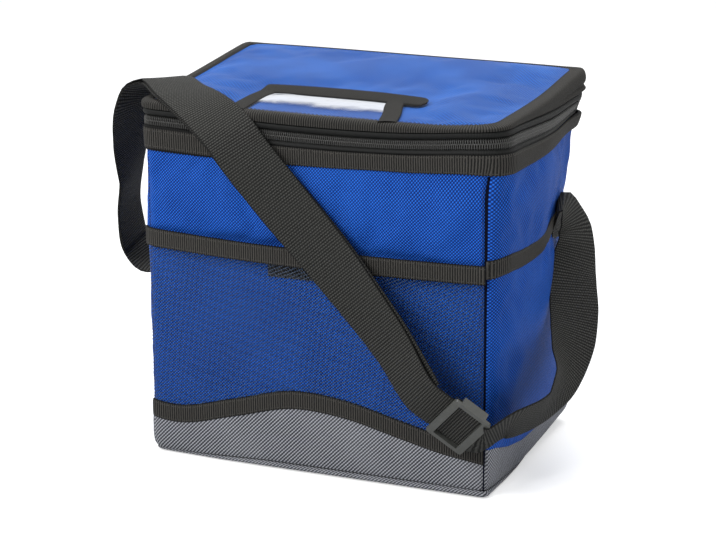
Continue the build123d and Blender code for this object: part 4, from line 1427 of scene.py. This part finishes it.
def line_x(line, y):
    """Where a side ribbon's middle is at depth y."""
    points = np.array(line)
    return spline(points[:, 1], points[:, 0], y)


def above_lid(x, y):
    """Height over which the document pocket's ribbons lie."""
    u = np.clip((np.asarray(x, float) + 60) / 125.0, 0, 1)
    y = np.asarray(y, float)
    rise = 3.0 * (y + HD) / (2 * HD)
    stuffed = smoothstep(y, -50, -28) * (1.4 + 1.4 * np.sin(math.pi * u) ** 0.6)
    return lid_top(y) + rise + 0.35 + 0.6 * smoothstep(y, -75, -50) + stuffed


print("film is", round(float(line_x(RIGHT_LINE, -80) - line_x(LEFT_LINE, -80))), "mm wide near its mouth")

# %% [markdown]
# The film is one sheet that bulges a little between its ribbons and has a small
# bump at the left, where a paper would push it.

# %% Clear film
fu, fv = across_grid(44, 26)
FY = -91.0 + 47.0 * fv
FX = line_x(LEFT_LINE, FY) * (1 - fu) + line_x(RIGHT_LINE, FY) * fu
FZ = above_lid(FX, FY) + 0.1 + 1.0 * np.sin(math.pi * fu) ** 0.6 * np.sin(math.pi * fv) ** 0.8
FZ += 1.0 * bump(FX, -38, 9) * bump(FY, -56, 9)
film_sheet = piece("document_film_sheet", np.stack([FX, FY, FZ], -1), None, film)
subdivide(film_sheet)
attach(film_sheet, "lid")
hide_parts("document_film")


# %% [markdown]
# Three ribbons hold the film. Each lies flat on the lid along a path, and its
# width is set across the path's direction. The rear one sticks out past the
# right one, with a rounded free end, so its half width shrinks there as a
# quarter circle does.

# %% Ribbons of the document pocket
def lid_ribbon(name, node, path, half):
    """A ribbon that lies flat on the lid along a list of (x, y); half is its half width at each point."""
    path = np.asarray(path, float)
    run = np.concatenate([[0], np.cumsum(np.linalg.norm(np.diff(path, axis=0), axis=1))])
    tangent = np.gradient(path, axis=0)
    tangent /= np.linalg.norm(tangent, axis=1)[:, None]
    side = np.stack([-tangent[:, 1], tangent[:, 0]], -1)
    w = np.asarray(half, float)[:, None] * ACROSS_RIBBON[None, :]
    x = path[:, :1] + side[:, :1] * w
    y = path[:, 1:] + side[:, 1:] * w
    z = above_lid(x, y) + 0.25 + CUSHION[None, :]
    uv = np.stack([np.repeat(run[:, None], w.shape[1], 1), w], -1)
    obj = piece(name, np.stack([x, y, z], -1), uv, ribbon_flat_shaded, flip=True)
    subdivide(obj)
    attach(obj, "lid")
    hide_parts(node)


for side, line, top_y in (("left", LEFT_LINE, -34.0), ("right", RIGHT_LINE, -40.0)):
    y = np.linspace(-92.0, top_y, 18)
    path = np.stack([line_x(line, y), y], -1)
    lid_ribbon("document_ribbon_" + side, "document_band_" + side, path, np.full(len(y), 6.8))
rear_x = np.concatenate([np.linspace(-59.5, -55, 5), np.linspace(-52, 58, 30), np.linspace(60, 68.5, 9)])
rear_y = REAR_Y - 0.035 * np.clip(rear_x - 30, 0, None)
from_end = np.minimum(rear_x - rear_x[0] + 4.5, rear_x[-1] - rear_x)
rounded = np.clip(from_end / 6.5, 0.0, 1.0)
rear_half = np.clip(REAR_HALF * np.sqrt(1 - (1 - rounded) ** 2), 0.4, None)
lid_ribbon("document_ribbon_rear", "document_band_rear", np.stack([rear_x, rear_y], -1), rear_half)
print("lid dressed")

# %% [markdown]
# ## Inside
# The compartment is a white film tub, welded at its corners, inside the foam.
# It shows when the lid is open. A box with a bevel would do for its corners,
# but its walls should dent a little, and its floor is a gentle fillet. So it is
# a stack of rounded rectangles, one for each height, closed towards the middle
# of the floor.

# %% Lining of the compartment
IN_X, IN_Y = 122.9, 83.4                  # half the width and depth of the tub
CORNER_POWER = 0.16                       # the smaller, the sharper the tub's corners
TUB_LEVELS = [(WALL_TOP + 0.6, -0.2), (WALL_TOP - 2, 0.0), (225, 0.4), (200, 0.8), (170, 1.0), (140, 1.0),
              (110, 1.0), (80, 0.8), (50, 0.6), (30, 0.5), (20, 1.0), (15, 2.4), (13.2, 5.0),
              (12.9, 12.0), (12.9, 30.0), (12.9, 60.0), (12.9, 81.0)]


def tub_point(t, z, inset):
    """Rounded rectangle with soft dents: t walks once round from 0 to 1."""
    c, s = math.cos(2 * math.pi * t), math.sin(2 * math.pi * t)
    x = (IN_X - inset) * math.copysign(abs(c) ** CORNER_POWER, c)
    y = (IN_Y - inset) * math.copysign(abs(s) ** CORNER_POWER, s)
    dent = abs(1.1 * ripple(x, y, z, 38, 5.5)) if 20 < z < 240 else 0.0
    left = 1 - dent / math.hypot(x, y)
    return x * left, y * left, z


one_side = np.linspace(-1, 1, 26)[:-1]
packed = 0.5 + 0.5 * np.sign(one_side) * np.abs(one_side) ** 3.2
angles = np.concatenate([(k + packed) / 4 - 0.125 for k in range(4)])
angles = sorted(set(np.round(np.mod(angles, 1.0), 6)))
tub_rows = np.array([[tub_point(t, z, inset) for z, inset in TUB_LEVELS] for t in angles])
tub = piece("lining_tub", tub_rows, tub_rows[..., [0, 2]], lining, close=True)
subdivide(tub)
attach(tub, "bag")
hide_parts("liner", "base_foam")
print("tub:", 2 * IN_X, "x", 2 * IN_Y, "mm inside")

# %% [markdown]
# The top of the foam is covered too, from the tape to the tub, or one would
# look into the wall. The cover is a short cushioned section for each station.

# %% Padded rim over the foam
PAD_SECTION = ((0, 0.0), (0.12, 0.7), (0.4, 1.3), (0.7, 1.2), (0.92, 0.5), (1.0, -1.0))


def pad_row(s):
    """Section of the rim from the zipper's tape to the tub: (share of the way, height)."""
    x, y, z = surf(s, WALL_TOP, -1.2)
    ix = np.clip(x * 0.927, -IN_X - 0.2, IN_X + 0.2)
    iy = np.clip(y * 0.9, -IN_Y - 0.2, IN_Y + 0.2)
    return [(x + (ix - x) * t, y + (iy - y) * t, z + (WALL_TOP - z) * t + up) for t, up in PAD_SECTION]


rim_rows = np.array([pad_row(s) for s in s_all])
pad_rim = piece("rim_pad", rim_rows, rim_rows[..., :2], lining, close=True)
subdivide(pad_rim)
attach(pad_rim, "bag")
print("padded rim:", len(pad_rim.data.polygons), "faces")

# %% [markdown]
# ## The strap
# One long webbing belt carries the bag. It is sewn to the left side, hangs in a
# loop, folds over the lid, crosses the front, threads the adjuster and comes
# back up the right side, twisting as stiff webbing does. A curve with a bevel
# can't be told how to twist, so the route is a list of stations: each has a
# point of the middle line and the direction of the belt's width there.

# %% Strap path
LEFT_RUN = [((-135.7, 8, 173), (0, 1, 0)), ((-135.9, 8, 158), (0, 1, 0)), ((-138, 8, 143), (0, 1, 0)),
            ((-145, 8, 130), (0, 1, 0)), ((-160, 7, 119), (0, 1, .15)), ((-180, 5, 117), (0, .97, .24)),
            ((-193, 3, 132), (0, .95, .3)), ((-193, -5, 160), (0, .93, .37)),
            ((-184, -16, 192), (.06, .92, .38)), ((-175, -30, 224), (.33, .9, .28)),
            ((-163, -45, 254), (.42, .88, .2))]
OVER_LID = [((-156, -45, 265), (.45, .88, .06)), ((-143, -44.2, 271), (.47, .877, -.096)),
            ((-107.7, -75.9, 270.7), (.526, .844, .105)), ((-74.2, -99, 262.4), (.573, .706, .416)),
            ((-55.2, -107, 250.7), (.60, .60, .53))]
FRONT_RUN = [((-43, -109, 237), (.62, .55, .55)), ((-14, -109, 205), (.69, .38, .62)),
             ((16, -109, 173), (.74, .15, .65)), ((45, -111, 141), (.75, -.08, .65)),
             ((71, -114, 111), (.73, -.25, .63))]
RIGHT_RUN = [((153.5, -96.8, 58.9), (.347, -.58, .736)), ((161, -76.9, 59.1), (.342, -.582, .738)),
             ((166, -60.9, 61.5), (.30, -.62, .72)), ((170, -41, 71), (.03, -.57, .82)),
             ((168, -20, 82), (-.41, -.55, .72)), ((165, 0, 97), (-.73, -.52, .45)),
             ((160, 16, 114), (-.80, -.56, .2)),
             ((154, 29.5, 134.4), (-.727, -.679, .102)), ((152.9, 36.9, 145.8), (-.589, -.764, .263)),
             ((152.4, 41.5, 156.4), (-.404, -.875, .266)), ((150, 44.6, 164.8), (-.33, -.937, .114)),
             ((148.2, 44.8, 171.7), (-.135, -.991, -.014)), ((145.9, 44.5, 177.6), (.007, -.995, -.104)),
             ((144.2, 43.7, 182.5), (.128, -.98, -.155)), ((141.3, 42.9, 185.2), (.26, -.954, -.15)),
             ((138.4, 41.6, 182.8), (.334, -.937, -.099)), ((137.1, 41.4, 177.7), (.30, -.95, -.09)),
             ((136.7, 42.2, 172.8), (.23, -.97, -.02)), ((136.8, 42.0, 165.7), (.16, -.985, .05)),
             ((136.9, 40.8, 157.8), (.14, -.985, .09))]
ADJ = Vector((122.0, -114.0, 60.0))       # middle of the adjuster
RUN = Vector((0.76, 0.24, -0.60)).normalized()
LEANING = Vector((0.62, -0.38, 0.69))
ACROSS = (LEANING - RUN * LEANING.dot(RUN)).normalized()
OUTWARD = RUN.cross(ACROSS)
print("stations:", len(LEFT_RUN) + len(OVER_LID) + len(FRONT_RUN) + len(RIGHT_RUN))


# %% [markdown]
# Between the stations the middle line is a smooth spline, cut into even steps,
# and the width's direction is turned square to it at each step. The belt's
# section is a flat band 38 mm wide with rounded selvages. It ripples a little
# along its run. The two ends are closed, because the adjuster's loop shows one
# of them.

# %% Webbing along a path
def smooth_path(points, widths, step=4.0):
    """Catmull-Rom through the stations; returns points and unit width directions, evenly spaced."""
    P = np.array(points, float)
    W = np.array(widths, float)
    d = np.linalg.norm(np.diff(P, axis=0), axis=1) ** 0.75
    t = np.concatenate([[0], np.cumsum(d)])
    fine = np.linspace(0, t[-1], int(t[-1] * 8))
    C = np.stack([spline(t, P[:, k], fine) for k in range(3)], -1)
    Wd = np.stack([np.interp(fine, t, W[:, k]) for k in range(3)], -1)
    run = np.concatenate([[0], np.cumsum(np.linalg.norm(np.diff(C, axis=0), axis=1))])
    n = max(4, int(run[-1] / step))
    even = np.linspace(0, run[-1], n)
    C = np.stack([np.interp(even, run, C[:, k]) for k in range(3)], -1)
    Wd = np.stack([np.interp(even, run, Wd[:, k]) for k in range(3)], -1)
    T = np.gradient(C, axis=0)
    T /= np.linalg.norm(T, axis=1)[:, None]
    Wd -= T * (Wd * T).sum(1)[:, None]
    Wd /= np.linalg.norm(Wd, axis=1)[:, None]
    return C, Wd, T


BELT_T = np.array([-1, -0.98, -0.9, -0.5, 0, 0.5, 0.9, 0.98, 1])
BELT_THICK = np.array([0.0, 0.75, 1, 1, 1, 1, 1, 0.75, 0.0])
ROUND_T = np.concatenate([BELT_T, BELT_T[-2:0:-1], BELT_T[:1]])
ROUND_THICK = np.concatenate([BELT_THICK, -BELT_THICK[-2:0:-1], BELT_THICK[:1]])


def strap_piece(name, stations, half=19.0, thick=1.4, start=0.0, step=4.0, shift=(0.0, 0.0), under=0.0,
                body=None):
    """Webbing along a path: a flat band with rounded selvages; shift slides it along its width."""
    C, Wd, T = smooth_path(*zip(*stations), step)
    N = np.cross(T, Wd)
    length = np.concatenate([[0], np.cumsum(np.linalg.norm(np.diff(C, axis=0), axis=1))]) + start
    wave = 0.35 * np.sin(length / 21.0) + 0.2 * np.sin(length / 8.3)
    sideways = half * ROUND_T + np.linspace(*shift, len(C))[:, None]
    outwards = 0.6 * wave[:, None] * ROUND_T - under + thick / 2 * ROUND_THICK
    rows = C[:, None] + Wd[:, None] * sideways[..., None] + N[:, None] * outwards[..., None]
    uv = np.stack(np.broadcast_arrays(length[:, None], half * ROUND_T), -1)
    obj = piece(name, rows, uv, webbing)
    weld = bmesh.new()
    weld.from_mesh(obj.data)
    bmesh.ops.remove_doubles(weld, verts=weld.verts, dist=1e-6)
    ends = [e for e in weld.edges if e.is_boundary]
    bmesh.ops.holes_fill(weld, edges=ends, sides=0)
    bmesh.ops.triangulate(weld, faces=[f for f in weld.faces if len(f.verts) > 4])
    bmesh.ops.recalc_face_normals(weld, faces=weld.faces)
    weld.to_mesh(obj.data)
    weld.free()
    if body:
        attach(obj, body)
    print(name, "is", round(float(length[-1] - start)), "mm long")
    return obj


# %% [markdown]
# From the left loop to the adjuster the belt is double: the outer layer goes on
# through the adjuster, and the inner one comes back from it. The inner layer
# lies 2 mm under the outer one and isn't quite in line with it, so its edge
# peeps out on one side at the top and on the other at the bottom.

# %% The two layers
def straight(*distances):
    """Stations on the straight stretch, at these distances from the adjuster's middle."""
    return [(ADJ + RUN * d, ACROSS) for d in distances]


outer_route = LEFT_RUN + OVER_LID + FRONT_RUN + straight(-32, -16, 0, 10, 17) + RIGHT_RUN
strap_outer = strap_piece("strap_outer", outer_route, body="bag")
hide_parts("strap_left", "strap_over_lid", "strap_front", "strap_right")
inner_route = LEFT_RUN[6:] + OVER_LID + FRONT_RUN + straight(-32)
strap_inner = strap_piece("strap_inner", inner_route, half=18.9, under=2.0, shift=(-3.3, 2.1),
                          start=7.0, body="bag")
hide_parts("strap_return_left", "strap_return_over_lid", "strap_return_front")

# %% [markdown]
# The inner layer's end is wrapped round the adjuster's centre bar and sewn back
# on itself. When the adjuster slides, that end goes with it, so the loop rides
# on the adjuster. The loop's path is written across the bar, in (along the run,
# outward), with an arc round its far side.

# %% Tail and loop round the centre bar
tail_route = straight(-34, -22, -12, -6)
strap_tail = strap_piece("strap_tail", tail_route, half=18.8, under=1.75, shift=(-1.5, -1.5), step=2.0)
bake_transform(strap_tail)
BAR_TOP, BAR_LOW, BAR_HALF = -2.5, -4.35, 2.6
GAP = 0.95                                # from the bar to the middle of the webbing
OVER_BAR = [(-8.0, -1.75), (-5.5, -1.8), (-BAR_HALF, BAR_TOP + GAP), (0.0, BAR_TOP + GAP),
            (BAR_HALF - 0.3, BAR_TOP + GAP)]
UNDER_BAR = [(BAR_HALF - 0.3, BAR_LOW - GAP), (0.0, BAR_LOW - GAP), (-BAR_HALF, BAR_LOW - GAP),
             (-6.0, -3.9), (-9.0, -3.45), (-13.5, -3.45)]
bar_middle = (BAR_TOP + BAR_LOW) / 2
turn_radius = (BAR_TOP - BAR_LOW) / 2 + GAP
turn = [(BAR_HALF + turn_radius * math.cos(a), bar_middle + turn_radius * math.sin(a))
        for a in np.radians(np.linspace(75, -75, 9))]
loop_route = [(ADJ + RUN * a + OUTWARD * b, ACROSS) for a, b in OVER_BAR + turn + UNDER_BAR]
loop = strap_piece("strap_loop", loop_route, half=18.7, thick=1.3, step=0.9, body="adjuster")
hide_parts("strap_end")

# %% [markdown]
# Two places are sewn through: the anchor at the left, with a box and a cross in
# it, and the end of the loop, with two rows. Both use the same small threads as
# the seams.

# %% Sewing of the anchor and the loop
def sewn(name, pairs, body):
    """Stitches between pairs of points."""
    obj = tubes(name, np.array([stitch_rings(a, b, 0.3) for a, b in pairs]), thread_black)
    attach(obj, body)
    print(name, "has", len(pairs), "stitches")


BOX_STEP = 2.9
box_middle = Vector((-136.55, 8, 165.5))
box_wide = Vector((0, 15, 0))
box_tall = Vector((0, 0, 5.5))
box = [box_middle + box_wide * i + box_tall * j for i, j in ((-1, -1), (1, -1), (1, 1), (-1, 1))]
box_pairs = []
for i, j in ((0, 1), (1, 2), (2, 3), (3, 0), (0, 2), (1, 3)):
    way = (box[j] - box[i]).normalized()
    for k in range(int((box[j] - box[i]).length // BOX_STEP)):
        box_pairs.append((box[i] + way * (k * BOX_STEP + 0.4), box[i] + way * (k * BOX_STEP + 2.6)))
sewn("anchor_stitch_left", box_pairs, "bag")
for back in (0, 3):
    middles = [ADJ - RUN * (11 + back) - OUTWARD * 4.3 + ACROSS * (j * 2.15) for j in range(-8, 9)]
    sewn("loop_stitch_%d" % back, [(c - ACROSS * 0.8, c + ACROSS * 0.8) for c in middles], "adjuster")

# %% [markdown]
# ## Moulded and metal parts
# The adjuster, the slider and the pull keep the CAD model's own meshes, which
# are exact and may not be moved. A sharp CAD edge looks fake, since every real
# edge catches some light, so they get a small bevel by their angle, and their
# finishes.

# %% Adjuster, slider and pull
def dress(node, material, edge, segments):
    """Soften a CAD node's edges and give it a finish."""
    obj = bpy.data.objects.get(node)
    obj.data.materials.clear()
    obj.data.materials.append(material)
    mod = obj.modifiers.new("Edge", "BEVEL")
    mod.width = edge * MM
    mod.segments = segments
    mod.limit_method = "ANGLE"
    mod.angle_limit = math.radians(35)
    mod.harden_normals = False
    print(node, "dressed in", material.name)


dress("strap_adjuster", plastic, 0.55, 3)
dress("zipper_slider", lacquer, 0.25, 2)
dress("zipper_pull", lacquer, 0.3, 2)

# %% [markdown]
# ## Studio
# The bag stands on a plain pale floor. The camera sees a white surrounding, but
# the lamps and the world light the bag at an ordinary level, so no colour
# clips. The floor's own colour keeps the bag's shadow, and a little glow that
# only the camera sees lifts the rest of it towards white.

# %% Floor
FLOOR_HALF = 3.0                          # metres


def white_floor():
    """Pale matt floor that glows a little for the camera only."""
    mat = bpy.data.materials.new("studio_floor")
    mat.use_nodes = True
    tree = mat.node_tree
    tree.nodes.clear()
    out = tree.nodes.new("ShaderNodeOutputMaterial")
    diffuse = tree.nodes.new("ShaderNodeBsdfDiffuse")
    diffuse.inputs[0].default_value = (0.80, 0.80, 0.80, 1)
    glow = tree.nodes.new("ShaderNodeEmission")
    glow.inputs["Color"].default_value = (0.5, 0.5, 0.5, 1)
    path = tree.nodes.new("ShaderNodeLightPath")
    both = tree.nodes.new("ShaderNodeAddShader")
    tree.links.new(path.outputs["Is Camera Ray"], glow.inputs["Strength"])
    tree.links.new(diffuse.outputs[0], both.inputs[0])
    tree.links.new(glow.outputs[0], both.inputs[1])
    tree.links.new(both.outputs[0], out.inputs[0])
    return mat


bm = bmesh.new()
bmesh.ops.create_grid(bm, x_segments=1, y_segments=1, size=FLOOR_HALF)
floor = finish_mesh("floor", bm, white_floor())
print("floor:", 2 * FLOOR_HALF, "m wide")

# %% [markdown]
# The world has two backgrounds. Camera and glossy rays see plain white, so that
# glossy parts show the same studio. All other rays see a soft bluish light,
# which fills the shadows.

# %% World
world = bpy.data.worlds.new("studio_world")
bpy.context.scene.world = world
world.use_nodes = True
tree = world.node_tree
tree.nodes.clear()
out = tree.nodes.new("ShaderNodeOutputWorld")
path = tree.nodes.new("ShaderNodeLightPath")
seen = tree.nodes.new("ShaderNodeBackground")
light = tree.nodes.new("ShaderNodeBackground")
seen.inputs[0].default_value = (1, 1, 1, 1)
seen.inputs[1].default_value = 1.0
light.inputs[0].default_value = (0.93, 0.96, 1.0, 1)
light.inputs[1].default_value = 0.30
mixer = tree.nodes.new("ShaderNodeMixShader")
either = tree.nodes.new("ShaderNodeMath")
either.operation = "MAXIMUM"
tree.links.new(path.outputs["Is Camera Ray"], either.inputs[0])
tree.links.new(path.outputs["Is Glossy Ray"], either.inputs[1])
tree.links.new(either.outputs[0], mixer.inputs[0])
tree.links.new(light.outputs[0], mixer.inputs[1])
tree.links.new(seen.outputs[0], mixer.inputs[2])
tree.links.new(mixer.outputs[0], out.inputs[0])
print("world light:", light.inputs[1].default_value)


# %% [markdown]
# Three soft lamps: a large key from the front left, a top light from behind for
# the lid, and a weak fill from the right, which leaves the right side darker
# than the front.

# %% Lamps
def area_light(name, location, target, size, watts):
    """A soft rectangular lamp that looks at its target."""
    data = bpy.data.lights.new(name, "AREA")
    data.shape = "RECTANGLE"
    data.size, data.size_y = size
    data.energy = watts
    obj = bpy.data.objects.new(name, data)
    bpy.context.scene.collection.objects.link(obj)
    obj.location = location
    obj.rotation_euler = (Vector(target) - Vector(location)).to_track_quat("-Z", "Y").to_euler()
    print(name, watts, "W")


area_light("key", (-1.0, -1.5, 1.6), (0, 0, 0.12), (1.1, 1.1), 42)
area_light("top", (0.2, 0.5, 1.9), (0, 0, 0.2), (1.4, 1.0), 26)
area_light("fill", (1.7, -0.6, 0.8), (0, 0, 0.12), (1.0, 1.2), 4)

# %% [markdown]
# The camera stands at the front right, a little above the bag, 2 m away, with a
# long lens that keeps the upright lines nearly parallel. Its place is given by
# two angles and a distance from the point it looks at, and a small roll levels
# the bag.

# %% Camera
AZIMUTH = math.radians(23.765)
ELEVATION = math.radians(15.924)
ROLL = math.radians(-0.43)
DISTANCE = 1.9999                         # metres
TARGET = Vector((-0.0035, -0.0015, 0.1287))
SENSOR = 36                               # mm
FRAME_WIDTH = 716                         # pixels
FOCAL = 2693.75                           # pixels
camera_data = bpy.data.cameras.new("camera")
camera = bpy.data.objects.new("camera", camera_data)
bpy.context.scene.collection.objects.link(camera)
level = math.cos(ELEVATION)
back = Vector((math.sin(AZIMUTH) * level, -math.cos(AZIMUTH) * level, math.sin(ELEVATION)))
camera.location = TARGET + back * DISTANCE
facing = back.to_track_quat("Z", "Y").to_matrix().to_4x4()
camera.rotation_euler = (facing @ Matrix.Rotation(ROLL, 4, "Z")).to_euler()
camera_data.sensor_width = SENSOR
camera_data.lens = FOCAL / FRAME_WIDTH * SENSOR
camera_data.clip_end = 20
bpy.context.scene.camera = camera
bpy.context.scene.view_settings.view_transform = "Standard"
print("camera at", [round(v, 3) for v in camera.location])
